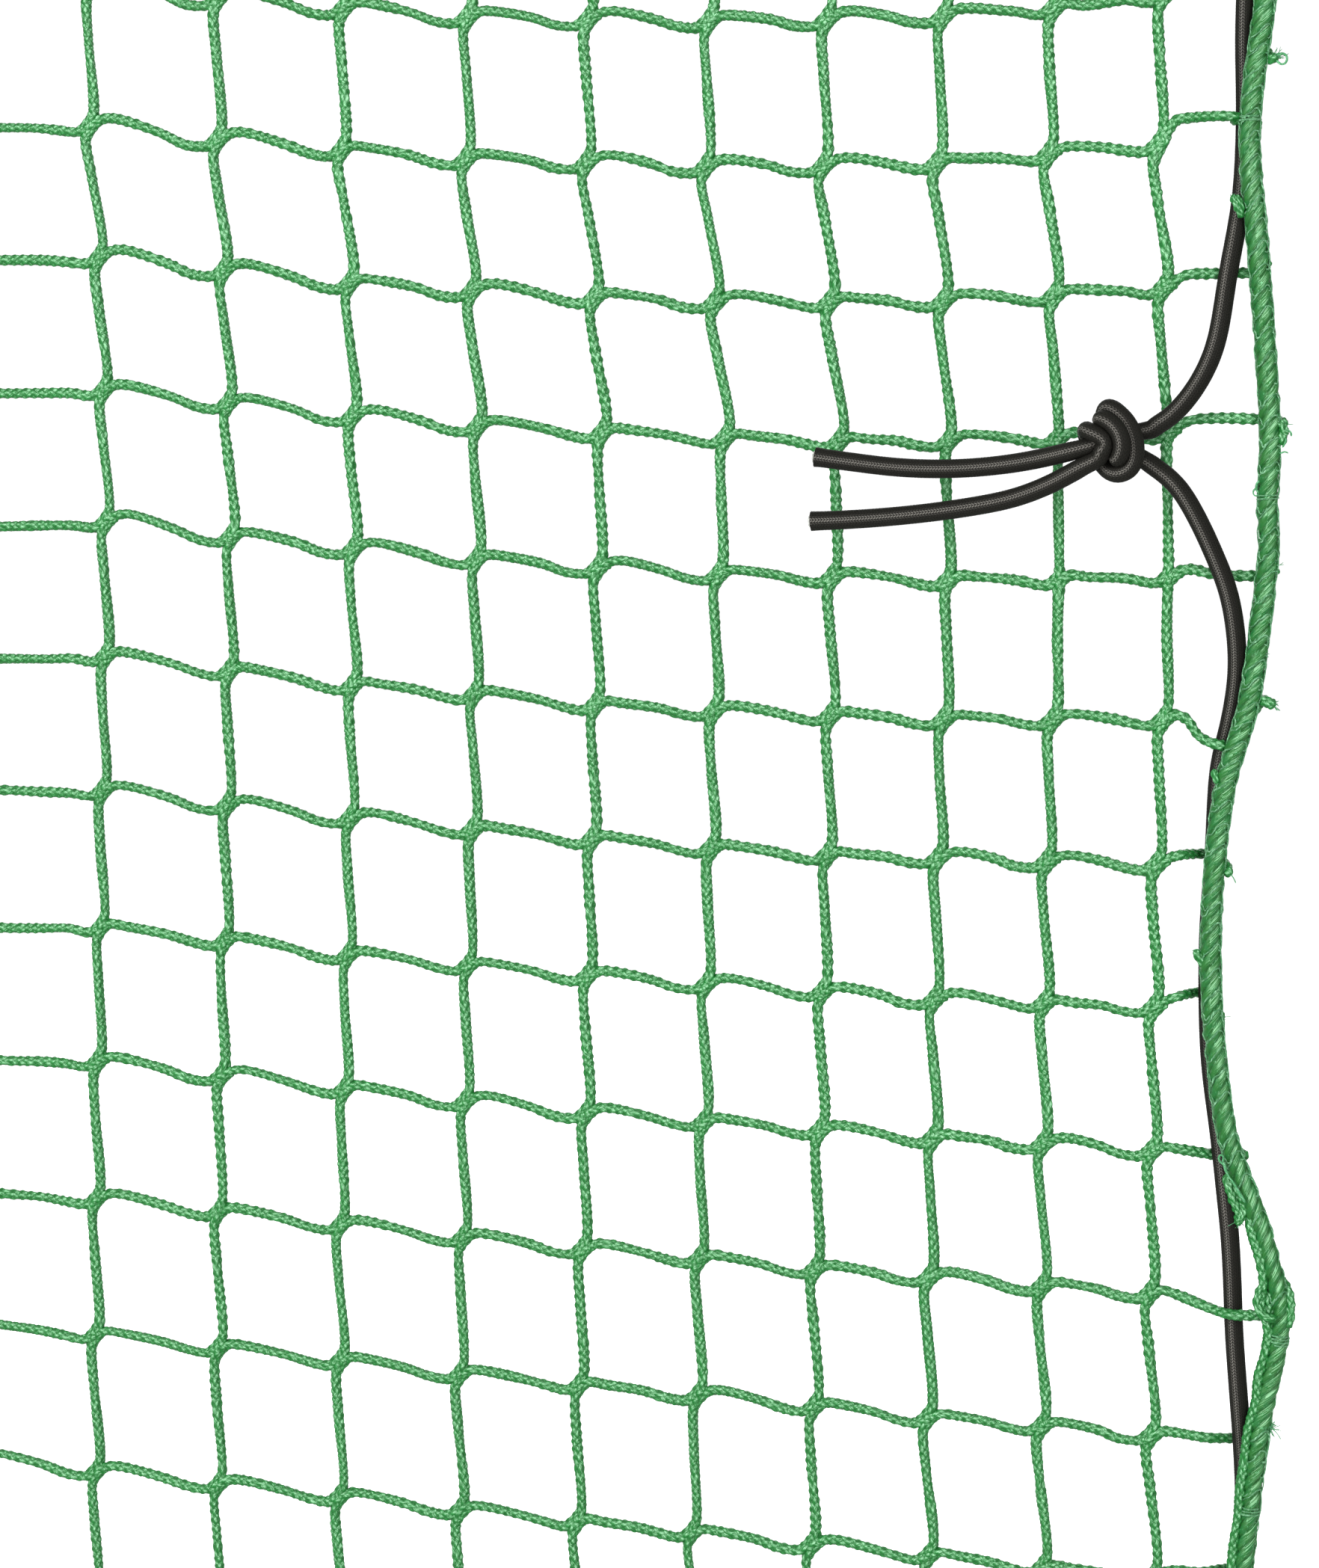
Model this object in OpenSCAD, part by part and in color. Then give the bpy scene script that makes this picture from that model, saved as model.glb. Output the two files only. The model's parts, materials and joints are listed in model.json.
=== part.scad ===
// Knotless cargo net with a roped border and an elastic tie cord.
// The net hangs in the XZ plane and its front faces -Y. The origin is the
// middle of the lower edge, at the level of a floor that the edge just meets.
// All sizes are in millimetres.

/* [Mesh] */
// Distance between two neighbouring cross cords
mesh_pitch = 45; // [40:1:60]
// Number of cross cords between the top and the bottom border rope
cross_count = 14; // [13:1:40]
// Number of down cords between the two side ropes
down_count = 11; // [9:1:14]
// Diameter of one braided mesh cord
cord_d = 3.2; // [2.6:0.1:3.4]
// How much narrower each mesh gets towards the gathered right-hand edge
edge_gather = 1.18; // [0:0.02:1.2]
// Distance from the outermost cord to the border rope
edge_pitch = 30; // [28:1:40]

/* [Border rope] */
// Diameter of the laid border rope
rope_d = 6.2; // [5:0.1:6.4]
// Bend radius of the rope's centre line in the four corners
corner_r = 16; // [15:1:22]
// Diameter of the lacing thread wound round the rope
thread_d = 0.6; // [0.4:0.05:0.7]
// Length of rope for one turn of the lacing thread
thread_lay = 45; // [30:1:60]
// Length of the cut cord end that stands out of each edge loop
stub_len = 6; // [2:0.5:10]

/* [Elastic cord] */
// Outside diameter of the braided sheath
elastic_d = 6; // [5:0.1:6.2]
// Diameter of the rubber core
core_d = 3.7; // [2.6:0.1:4]
// Distance from the rope's centre line to the elastic cord's centre line
elastic_inset = 9.6; // [9.5:0.1:9.6]

/* [Tie] */
// Cross cord that the knot lies on, counted from the top
tie_row = 4; // [4:1:4]
// Distance from the knot to the elastic cord in the border
tie_reach = 37; // [34:1:44]
// How far above the knot the upper strand leaves the border
tie_up = 60; // [56:1:70]
// How far below the knot the lower strand comes back to the border
tie_down = 84; // [60:1:84]
// Free length of each cord tail beyond the knot
tail_len = 84; // [70:1:97]
// Straight length at the end of each tail, for an end clip
tail_straight = 22; // [20:1:25]

/* [Folds] */
// Cross cord that the upper fold runs along, counted from the top
fold_1 = 7; // [7:1:8]
// Cross cord that the lower fold runs along, counted from the top
fold_2 = 11; // [11:1:12]

/* [Hidden] */
$fn = 32;
cord_r = cord_d / 2;
rope_r = rope_d / 2;
elastic_r = elastic_d / 2;
core_r = core_d / 2;

gap = 0.05;                   // running clearance
bore_r = core_r + gap;        // bore of the elastic sheath
fold_gap = 0.1;               // end gap below the round end at a fold
fold_ball_inset = 0.1;        // how much smaller that round end is than its cord

// Cord ends at the border
wrap_r = 1.25;                // cord pulled tight round the rope
over_r = 1.40;                // cord drawn over the elastic cord
stub_r = 1.1;                 // cut end
cord_lap = 2.5;               // straight cord beyond its last crossing
joint_extra = 0.06;           // how much larger a bend's ball is than the cord
elastic_clear = 1.6;          // from the bend to the elastic cord
loop_r = rope_r + thread_d + gap + over_r;  // centre line of an edge loop
rise = rope_r + over_r + 0.7;               // edge loops sit this far above their cross cord

// Mesh widths: square at the left, narrower towards the gathered edge
function mesh_width(col) = mesh_pitch - edge_gather * max(0, col - 1.5);
function width_to(col) = col <= 1 ? 0 : width_to(col - 1) + mesh_width(col - 1);
side_x = (2 * edge_pitch + width_to(down_count)) / 2;  // side ropes at -side_x and side_x
function col_x(col) = -side_x + edge_pitch + width_to(col);

low_z = loop_r + wrap_r + stub_len;         // centre line of the bottom rope
function row_z(row) = low_z + edge_pitch + mesh_pitch * (cross_count - row);
top_z = row_z(1) + edge_pitch;              // centre line of the top rope
fold_1_z = row_z(fold_1);
fold_2_z = row_z(fold_2);
elastic_x = side_x - elastic_inset;
bend_x = side_x - corner_r;                 // centres of the corner bends
bend_top_z = top_z - corner_r;
bend_low_z = low_z + corner_r;

net_green = "seagreen";
rope_green = "mediumseagreen";
thread_green = "lightgreen";
sheath_black = [0.13, 0.13, 0.12];
core_white = "ivory";

// ---------- straight and bent cords ----------

// Round bar between two points
module rod(start, end, r) {
  span = end - start;
  translate(start)
    rotate([0, acos(span.z / norm(span)), atan2(span.y, span.x)])
      cylinder(h = norm(span), r = r);
}

module ball(centre, r) { translate(centre) sphere(r = r); }

// Quarter bend in the XZ plane, from the start angle to 90 degrees further
module bend(x, z, bend_r, start_angle, r, bore = 0)
  translate([x, 0, z]) rotate([90, 0, 0]) rotate([0, 0, start_angle])
    rotate_extrude(angle = 90) translate([bend_r, 0]) difference() {
      circle(r = r);
      if (bore > 0) circle(r = bore);
    }

// Straight piece, hollow when bore is set
module straight(start, end, r, bore = 0) {
  if (bore > 0) {
    step = unit(end - start);
    difference() {
      rod(start, end, r);
      rod(start - step, end + step, bore);
    }
  } else rod(start, end, r);
}

// The same upright piece at -x and x
module side_pair(x, from_z, to_z, r, bore = 0) for (side = [-1, 1])
  straight([side * x, 0, from_z], [side * x, 0, to_z], r, bore);

// Round ends at a fold, at -x and x
module fold_balls(x, z, r) for (side = [-1, 1])
  ball([side * x, 0, z], r - fold_ball_inset);

// Level run with its two corner bends, inset from the rope's centre line
module level_run(at_top, inset, r, bore = 0) {
  bend_z = at_top ? bend_top_z : bend_low_z;
  run_z = at_top ? top_z - inset : low_z + inset;
  bend(bend_x, bend_z, corner_r - inset, at_top ? 0 : 270, r, bore);
  bend(-bend_x, bend_z, corner_r - inset, at_top ? 90 : 180, r, bore);
  straight([-bend_x, 0, run_z], [bend_x, 0, run_z], r, bore);
}

// ---------- bars and tubes swept along a list of points ----------

ring_sides = 12;
curve_steps = 14;

function unit(v) = v / norm(v);
function tangent(path, i) =
  unit(path[min(i + 1, len(path) - 1)] - path[max(i - 1, 0)]);
function ring_at(centre, along, r) =
  let (across = unit(cross(along, [0, 1, 0])), normal = cross(across, along))
  [for (k = [0:ring_sides - 1])
    let (angle = 360 * k / ring_sides)
    centre + r * (across * cos(angle) + normal * sin(angle))];
function rings(path, r) =
  [for (i = [0:len(path) - 1]) each ring_at(path[i], tangent(path, i), r)];

// Triangles between successive rings; first is the index of the first point
function wall(ring_count, first, inward) = [
  for (i = [0:ring_count - 2], k = [0:ring_sides - 1])
    let (a = first + ring_sides * i + k,
         b = first + ring_sides * i + (k + 1) % ring_sides,
         a_next = a + ring_sides,
         b_next = b + ring_sides)
    each inward ? [[a, b_next, b], [a, a_next, b_next]]
                : [[a, b, b_next], [a, b_next, a_next]]
];

module swept_bar(path, r) {
  last = ring_sides * (len(path) - 1);
  polyhedron(
    points = rings(path, r),
    faces = concat(
      [[for (k = [ring_sides - 1:-1:0]) k]],
      [[for (k = [0:ring_sides - 1]) last + k]],
      wall(len(path), 0, false)));
}

module swept_tube(path, outer_r, inner_r) {
  inner = ring_sides * len(path);        // index of the first inner point
  last = inner - ring_sides;             // index of the last outer ring
  polyhedron(
    points = concat(rings(path, outer_r), rings(path, inner_r)),
    faces = concat(
      wall(len(path), 0, false),
      wall(len(path), inner, true),
      [for (k = [0:ring_sides - 1])
        let (b = (k + 1) % ring_sides)
        each [[k, inner + k, inner + b], [k, inner + b, b]]],
      [for (k = [0:ring_sides - 1])
        let (a = last + k, b = last + (k + 1) % ring_sides)
        each [[a, b, inner + b], [a, inner + b, inner + a]]]));
}

// Cubic curve from start to end, with a control point for each
function bezier(start, start_pull, end_pull, end) = [
  for (i = [0:curve_steps])
    let (t = i / curve_steps, s = 1 - t)
    start * s * s * s + start_pull * 3 * s * s * t + end_pull * 3 * s * t * t + end * t * t * t
];

// ---------- border rope ----------

module border_rope_upper() color(rope_green) {
  side_pair(side_x, fold_1_z, bend_top_z, rope_r);
  fold_balls(side_x, fold_1_z, rope_r);
  level_run(true, 0, rope_r);
}
module border_rope_middle() color(rope_green) {
  side_pair(side_x, fold_2_z, fold_1_z - rope_r - fold_gap, rope_r);
  fold_balls(side_x, fold_2_z, rope_r);
}
module border_rope_lower() color(rope_green) {
  side_pair(side_x, bend_low_z, fold_2_z - rope_r - fold_gap, rope_r);
  level_run(false, 0, rope_r);
}

// ---------- lacing thread ----------

thread_steps = 14;                       // steps in one turn
thread_fold_gap = 8;                     // the thread stops this far from a fold
strand_r = thread_d / 2 * 0.92;          // corner radius of the three-sided strand

// Strand winding round a straight run of rope; axis_1 and axis_2 span its section
module thread_run(start, end, axis_1, axis_2) {
  length = norm(end - start);
  along = (end - start) / length;
  turns = length / thread_lay;
  steps = ceil(turns * thread_steps);
  points = [
    for (i = [0:steps], k = [0:2])
      let (angle = 360 * turns * i / steps,
           corner = 120 * k,
           radius = rope_r + gap + thread_d / 2 + strand_r * cos(corner),
           distance = length * i / steps + strand_r * sin(corner))
      start + along * distance + axis_1 * radius * cos(angle) + axis_2 * radius * sin(angle)
  ];
  // Lower and upper triangle of each side face
  function side_faces(upper) = [
    for (i = [0:steps - 1], k = [0:2])
      let (a = 3 * i + k, b = 3 * i + (k + 1) % 3)
      upper ? [a, b + 3, a + 3] : [a, b, b + 3]
  ];
  polyhedron(
    points = points,
    faces = concat(
      [[2, 1, 0]],
      [[3 * steps, 3 * steps + 1, 3 * steps + 2]],
      side_faces(false),
      side_faces(true)));
}
module side_threads(from_z, to_z) for (side = [-1, 1])
  thread_run([side * side_x, 0, from_z], [side * side_x, 0, to_z], [1, 0, 0], [0, 1, 0]);
module level_thread(z)
  thread_run([-bend_x, 0, z], [bend_x, 0, z], [0, 1, 0], [0, 0, 1]);

module lacing_thread_upper() color(thread_green) {
  side_threads(fold_1_z + thread_fold_gap, bend_top_z);
  level_thread(top_z);
}
module lacing_thread_middle() color(thread_green)
  side_threads(fold_2_z + thread_fold_gap, fold_1_z - thread_fold_gap);
module lacing_thread_lower() color(thread_green) {
  side_threads(bend_low_z, fold_2_z - thread_fold_gap);
  level_thread(low_z);
}

// ---------- mesh cords ----------

// Side on which a cord passes the elastic cord, -1 front or 1 back. At the right and
// top edges every fourth cord passes in front; the left and bottom edges are reversed.
function pass_side(n) = (n % 4 == 2) ? -1 : 1;

// One cord end: from the last crossing, past the elastic cord on the given side,
// round the rope in a loop, and out as a cut stub. Local +X points outwards.
module cord_end(pass, lift = 0) {
  start = [cord_lap, 0, 0];
  turn = [edge_pitch - elastic_inset - elastic_r - elastic_clear, pass * loop_r, lift];
  ball(start, cord_r + joint_extra);
  rod(start, turn, cord_r);
  ball(turn, cord_r + joint_extra);
  rod(turn, [edge_pitch, pass * loop_r, lift], over_r);
  translate([edge_pitch, 0, lift]) {
    rotate_extrude() translate([loop_r, 0]) circle(r = wrap_r);
    rod([loop_r, 0, 0], [loop_r + wrap_r + stub_len, 0, 0], stub_r);
  }
}

module cross_cord(row) {
  z = row_z(row);
  rod([col_x(1) - cord_lap, 0, z], [col_x(down_count) + cord_lap, 0, z], cord_r);
  translate([col_x(down_count), 0, z]) cord_end(pass_side(row), rise);
  translate([col_x(1), 0, z]) mirror([1, 0, 0]) cord_end(-pass_side(row), rise);
}
module cross_cords(first, last) for (row = [first:last]) cross_cord(row);

module cross_cords_upper() color(net_green) cross_cords(1, fold_1 - 1);
module fold_cord_upper() color(net_green) cross_cord(fold_1);
module cross_cords_middle() color(net_green) cross_cords(fold_1 + 1, fold_2 - 1);
module fold_cord_lower() color(net_green) cross_cord(fold_2);
module cross_cords_lower() color(net_green) cross_cords(fold_2 + 1, cross_count);

module down_cord(col, from_z, to_z) rod([col_x(col), 0, from_z], [col_x(col), 0, to_z], cord_r);

module down_cords_upper() color(net_green) for (col = [1:down_count]) {
  down_cord(col, fold_1_z, row_z(1) + cord_lap);
  translate([col_x(col), 0, row_z(1)]) rotate([0, -90, 0]) cord_end(pass_side(col));
}
module down_cords_middle() color(net_green) for (col = [1:down_count])
  down_cord(col, fold_2_z, fold_1_z - cord_r - gap);
module down_cords_lower() color(net_green) for (col = [1:down_count]) {
  down_cord(col, row_z(cross_count) - cord_lap, fold_2_z - cord_r - gap);
  translate([col_x(col), 0, row_z(cross_count)]) rotate([0, 90, 0]) cord_end(-pass_side(col));
}

// ---------- knot position ----------

knot_x = elastic_x - tie_reach;
knot_z = row_z(tie_row);
turn_gap = 0.1;
turn_r = 3 * elastic_r + 2 * turn_gap;   // centre line of a knot turn
knot_y = -(turn_r + elastic_r + cord_r + 0.3);  // clear in front of the mesh
half_pitch = elastic_r + gap;            // half distance between paired strands or turns
exit_x = knot_x - 2 * elastic_r - 5;     // where each tail starts to swing

// ---------- elastic cord in the border ----------

tie_gap = 0.3;                           // end gap between border and tie strands

// r, bore: outside radius and bore; short: how far it stops before a fold
module elastic_upper(r, bore, short) {
  start_z = fold_1_z + short;
  level_run(true, elastic_inset, r, bore);
  straight([-elastic_x, 0, start_z], [-elastic_x, 0, bend_top_z], r, bore);
  // The right side is open where the tie strands run
  straight([elastic_x, 0, knot_z + tie_up + tie_gap], [elastic_x, 0, bend_top_z], r, bore);
  straight([elastic_x, 0, start_z], [elastic_x, 0, knot_z - tie_down - tie_gap], r, bore);
}
module elastic_middle(r, bore, short)
  side_pair(elastic_x, fold_2_z + short, fold_1_z - elastic_r - fold_gap, r, bore);
module elastic_lower(r, bore) {
  side_pair(elastic_x, bend_low_z, fold_2_z - elastic_r - fold_gap, r, bore);
  level_run(false, elastic_inset, r, bore);
}

module elastic_sheath_upper() color(sheath_black) {
  elastic_upper(elastic_r, bore_r, 0);
  fold_balls(elastic_x, fold_1_z, elastic_r);
}
module elastic_core_upper() color(core_white) elastic_upper(core_r, 0, elastic_r);
module elastic_sheath_middle() color(sheath_black) {
  elastic_middle(elastic_r, bore_r, 0);
  fold_balls(elastic_x, fold_2_z, elastic_r);
}
module elastic_core_middle() color(core_white) elastic_middle(core_r, 0, elastic_r);
module elastic_sheath_lower() color(sheath_black) elastic_lower(elastic_r, bore_r);
module elastic_core_lower() color(core_white) elastic_lower(core_r, 0);

// ---------- tie: two strands drawn through the knot side by side ----------
// strand = 1 is the upper strand or tail, -1 the lower one

// Heights above and below the knot at which the strands turn out of the border,
// clear of the edge loops beside them
leave_up = 48;
leave_down = 37;
knot_entry = 10;                         // the strands run level from this far right of the knot
entry_pull = [20, 0.8, 8];               // control point: x, share of knot_y, z from the knot
exit_ball_inset = 0.2;

function strand_at(x, strand) = [x, knot_y, knot_z + strand * half_pitch];
function tie_path(strand, end_x) =
  let (away = strand > 0 ? tie_up : tie_down,
       leave = strand > 0 ? leave_up : leave_down)
  concat(
    [[elastic_x, 0, knot_z + strand * away]],
    bezier([elastic_x, 0, knot_z + strand * leave],
           [elastic_x, 0, knot_z + strand * leave / 2],
           [knot_x + entry_pull.x, knot_y * entry_pull.y, knot_z + strand * entry_pull.z],
           strand_at(knot_x + knot_entry, strand)),
    [strand_at(end_x, strand)]);

module tie_sheath(strand) {
  swept_tube(tie_path(strand, exit_x), elastic_r, bore_r);
  ball(strand_at(exit_x, strand), elastic_r - exit_ball_inset);
}
module tie_core(strand) swept_bar(tie_path(strand, exit_x + elastic_r), core_r);

module tie_sheath_upper() color(sheath_black) tie_sheath(1);
module tie_core_upper() color(core_white) tie_core(1);
module tie_sheath_lower() color(sheath_black) tie_sheath(-1);
module tie_core_lower() color(core_white) tie_core(-1);

// The two turns of the knot round the paired strands
module knot_turns() color(sheath_black) for (side = [-1, 1])
  translate([knot_x + side * half_pitch, knot_y, knot_z]) rotate([0, 90, 0])
    rotate_extrude() translate([turn_r, 0]) circle(r = elastic_r);

// ---------- tails: the free ends of the elastic cord ----------

tail_gap = 0.15;                         // beyond one cord radius from the tie's end
tail_drop = [2, 26];                     // end below the knot: upper, lower tail
start_dip = [0, 3];                      // dip of the start's control point: upper, lower
start_pull_x = 24;
end_pull_x = 26;
tail_lap = 1;                            // curved sheath stops this far into the straight
// The curved sheath is slightly thinner on both faces than the straight one
curve_outer_r = elastic_r - 0.03;
curve_bore_r = core_r + 0.12;

function pick(pair, strand) = pair[strand > 0 ? 0 : 1];
function tail_end(strand) = [exit_x - tail_len, knot_y, knot_z - pick(tail_drop, strand)];
function tail_path(strand) =
  let (start = strand_at(exit_x - elastic_r - tail_gap, strand),
       end = tail_end(strand) + [tail_straight, 0, 0])
  bezier(start, start + [-start_pull_x, 0, -pick(start_dip, strand)],
         end + [end_pull_x, 0, 0], end);

module tail_sheath(strand) {
  end = tail_end(strand);
  lap_end = end + [tail_straight - tail_lap, 0, 0];
  swept_tube(concat(tail_path(strand), [lap_end]), curve_outer_r, curve_bore_r);
  straight(end, end + [tail_straight, 0, 0], elastic_r, bore_r);
}
module tail_core(strand) swept_bar(concat(tail_path(strand), [tail_end(strand)]), core_r);

module tail_sheath_upper() color(sheath_black) tail_sheath(1);
module tail_core_upper() color(core_white) tail_core(1);
module tail_sheath_lower() color(sheath_black) tail_sheath(-1);
module tail_core_lower() color(core_white) tail_core(-1);

border_rope_upper();
lacing_thread_upper();
cross_cords_upper();
down_cords_upper();
fold_cord_upper();
elastic_sheath_upper();
elastic_core_upper();
border_rope_middle();
lacing_thread_middle();
cross_cords_middle();
down_cords_middle();
fold_cord_lower();
elastic_sheath_middle();
elastic_core_middle();
border_rope_lower();
lacing_thread_lower();
cross_cords_lower();
down_cords_lower();
elastic_sheath_lower();
elastic_core_lower();
tie_sheath_upper();
tie_core_upper();
tie_sheath_lower();
tie_core_lower();
knot_turns();
tail_sheath_upper();
tail_core_upper();
tail_sheath_lower();
tail_core_lower();
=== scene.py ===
"""Looks of the roped cargo net with its elastic tie cord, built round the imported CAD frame.

The net hangs upright in the plane y = 0. x runs from left to right, z upwards, and -y faces
the camera. Rows are counted from the top and columns from the left. The elastic cord runs
inside the border rope, and its two ends are knotted in front of the net near the right edge.

Lengths in the build code are millimetres; meshes are written in metres.
"""

import json
import math

import bpy
import numpy as np
from mathutils import Matrix, Vector


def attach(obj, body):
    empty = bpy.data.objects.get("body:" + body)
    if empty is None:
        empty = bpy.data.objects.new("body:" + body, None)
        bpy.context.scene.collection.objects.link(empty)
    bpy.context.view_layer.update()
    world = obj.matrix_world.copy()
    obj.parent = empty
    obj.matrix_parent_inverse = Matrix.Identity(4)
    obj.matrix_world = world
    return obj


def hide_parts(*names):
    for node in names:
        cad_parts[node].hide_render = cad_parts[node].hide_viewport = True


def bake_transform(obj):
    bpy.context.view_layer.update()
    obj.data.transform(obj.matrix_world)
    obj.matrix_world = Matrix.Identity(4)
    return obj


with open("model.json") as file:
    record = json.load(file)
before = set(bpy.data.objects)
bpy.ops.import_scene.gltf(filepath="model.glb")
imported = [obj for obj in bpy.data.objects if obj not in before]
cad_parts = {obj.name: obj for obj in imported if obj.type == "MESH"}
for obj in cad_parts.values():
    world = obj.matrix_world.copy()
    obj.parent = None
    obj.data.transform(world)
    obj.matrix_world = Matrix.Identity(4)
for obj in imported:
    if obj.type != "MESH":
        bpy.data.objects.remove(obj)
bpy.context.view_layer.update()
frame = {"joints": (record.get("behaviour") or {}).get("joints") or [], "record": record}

# ---------------------------------------------------------------- measures from the CAD

MM = 0.001
mount = {m["name"]: [1000 * v for v in m["pos_m"]] for m in frame["record"]["mounts"]}
hinge = {j["name"]: [1000 * v for v in j["pos_m"]] for j in frame["joints"]}
BOTTOM = mount["edge_hook_bottom"][2]
TOP = mount["hang_line"][2]
SIDE = mount["edge_hook_right"][0]
FOLD_UPPER_Z = hinge["fold_upper"][2]
FOLD_LOWER_Z = hinge["fold_lower"][2]
ROWS, COLS = 14, 11
FOLD_UPPER_ROW, SEAM_ROW, FOLD_LOWER_ROW = 7, 9, 11
ROW_PITCH = (FOLD_UPPER_Z - FOLD_LOWER_Z) / (FOLD_LOWER_ROW - FOLD_UPPER_ROW)
COL_PITCH = 45
EDGE = 30.0                   # side rope to first column
ELASTIC_X = hinge["tie_swing"][0]
ELASTIC_INSET = SIDE - ELASTIC_X
LIFT = BOTTOM - 6.4           # added to heights that are counted from a bottom rope at 6.4
RIGHT_ZONE = SIDE - 45        # anything beyond this x belongs to the right-hand edge

RIGHTWARD = np.array([1.0, 0.0, 0.0])
BACKWARD = np.array([0.0, 1.0, 0.0])
UPWARD = np.array([0.0, 0.0, 1.0])


def row_z(row):
    return FOLD_UPPER_Z + ROW_PITCH * (FOLD_UPPER_ROW - row)


def col_x(col):
    """The columns draw closer together towards the right."""
    x = -SIDE + EDGE
    for k in range(1, col):
        x += COL_PITCH - 1.18 * max(0.0, k - 1.5)
    return x


SEAM_Z = row_z(SEAM_ROW)      # long pieces are parted here, in the middle panel

# Slow drifts of the crossings, as cubics over the net's width and height. Coefficients of
# 1, down, down2, down3, across, across*down, across*down2, across2, across2*down, across3.
DRIFT_X = [1.35, -1.86, -2.86, 4.82, -0.03, 2.6, 0.76, -1.02, 1.01, -0.35]
DRIFT_Z = [0.17, 1.46, -5.51, 0.62, -2.84, 1.12, 1.52, 5.07, -4.41, -0.22]
# Sideways shift of the right-hand columns, by row
NUDGE = {2: -0.2, 3: -0.4, 4: -0.3, 5: 0.5, 6: -1.2, 7: -2.0, 8: -1.3, 9: -0.8, 10: -0.3}
# Local bulges round column 7: row, sideways shift
BULGES = [(4, 3.2), (12, -2.4)]
SCATTER = 0.7


def crossing(col, row):
    """Where a down cord and a cross cord meet, drawn a little out of square."""
    across = min(1.0, max(-1.0, (col - 6.5) / 4.5))
    down = min(1.0, max(-1.0, (row - 7) / 5.0))
    terms = [1, down, down * down, down ** 3, across, across * down, across * down * down,
             across * across, across * across * down, across ** 3]
    dx = sum(a * b for a, b in zip(DRIFT_X, terms))
    dz = sum(a * b for a, b in zip(DRIFT_Z, terms))
    dx += NUDGE.get(row, 0.0) * min(1.0, max(0.0, (col - 8) / 2))
    for bulge_row, shift in BULGES:
        dx += shift * math.exp(-((col - 7) / 1.4) ** 2 - ((row - bulge_row) / 0.7) ** 2)
    share = (0.5 if col == 1 else 1.0) * (0.55 if row == ROWS else 1.0)
    chance = np.random.default_rng(1000 + 37 * col + row).uniform(-0.5, 0.5, 2)
    return np.array([col_x(col) + share * dx + chance[0] * SCATTER, 0.0,
                     row_z(row) + share * dz + chance[1] * SCATTER])


CROSSING = {(c, r): crossing(c, r) for c in range(1, COLS + 1) for r in range(1, ROWS + 1)}

# ---------------------------------------------------------------- curves


def interpolate(at, known, points):
    return np.stack([np.interp(at, known, points[:, k]) for k in range(3)], -1)


def resample(points, step):
    """Points at even steps along a line, and their lengths along it."""
    known = np.r_[0, np.cumsum(np.linalg.norm(np.diff(points, axis=0), axis=1))]
    lengths = np.linspace(0, known[-1], max(3, int(round(known[-1] / step)) + 1))
    return interpolate(lengths, known, points), lengths


def dense(points, per_span=20):
    """Cubic curve through the points, its parameter spaced by the root of the distance."""
    p = np.asarray(points, float)
    span = np.sqrt(np.maximum(np.linalg.norm(np.diff(p, axis=0), axis=1), 1e-6))
    slope = np.diff(p, axis=0) / span[:, None]
    knot = np.zeros_like(p)
    both = (span[1:] + span[:-1])[:, None]
    knot[1:-1] = (slope[:-1] * span[1:, None] + slope[1:] * span[:-1, None]) / both
    knot[0], knot[-1] = slope[0], slope[-1]
    x = np.linspace(0, 1, per_span, endpoint=False)[:, None]
    h00, h10 = 2 * x ** 3 - 3 * x ** 2 + 1, x ** 3 - 2 * x ** 2 + x
    h01, h11 = -2 * x ** 3 + 3 * x ** 2, x ** 3 - x ** 2
    out = [h00 * p[i] + h10 * span[i] * knot[i] + h01 * p[i + 1] + h11 * span[i] * knot[i + 1]
           for i in range(len(p) - 1)]
    return np.concatenate(out + [p[-1:]])


def spline(points, step):
    return resample(dense(points), step)


def frames(points):
    """Tangent, normal and side along a line, turning as little as possible."""
    tangents = np.gradient(points, axis=0)
    tangents /= np.linalg.norm(tangents, axis=1)[:, None]
    normals = np.zeros_like(points)
    first = -BACKWARD - (-BACKWARD @ tangents[0]) * tangents[0]
    if np.linalg.norm(first) < 0.05:
        first = np.cross(tangents[0], (0.3, 0.1, 1.0))
    normals[0] = first / np.linalg.norm(first)
    for i in range(len(points) - 1):
        # double reflection: across the step, then onto the next tangent
        step = points[i + 1] - points[i]
        size = step @ step
        normal = normals[i] - (2 / size) * (step @ normals[i]) * step
        tangent = tangents[i] - (2 / size) * (step @ tangents[i]) * step
        bend = tangents[i + 1] - tangent
        size = bend @ bend
        if size > 1e-14:
            normal = normal - (2 / size) * (bend @ normal) * bend
        normals[i + 1] = normal / np.linalg.norm(normal)
    return tangents, normals, np.cross(tangents, normals)


def smoothstep(x):
    return x * x * (3 - 2 * x)


def slow_noise(lengths, every, seed):
    """Smooth noise in -1..1 with a new value at every so many mm."""
    values = np.random.default_rng(seed).uniform(-1, 1, int(lengths[-1] / every) + 4)
    place = lengths / every
    index = np.floor(place).astype(int)
    part = smoothstep(place - index)
    return values[index] * (1 - part) + values[index + 1] * part


def unit_sum(kernel):
    return kernel / kernel.sum()


# ---------------------------------------------------------------- meshes


def angles_round(sides):
    return 2 * np.pi * np.arange(sides) / sides


def spokes(normals, sides, angles):
    """Unit vectors at the angles round a line, for one frame or for many."""
    return (np.cos(angles)[:, None] * normals[..., None, :]
            + np.sin(angles)[:, None] * sides[..., None, :])


def tube_rings(points, normals, sides, angles, radii):
    return points[:, None, :] + radii[..., None] * spokes(normals, sides, angles)


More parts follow.
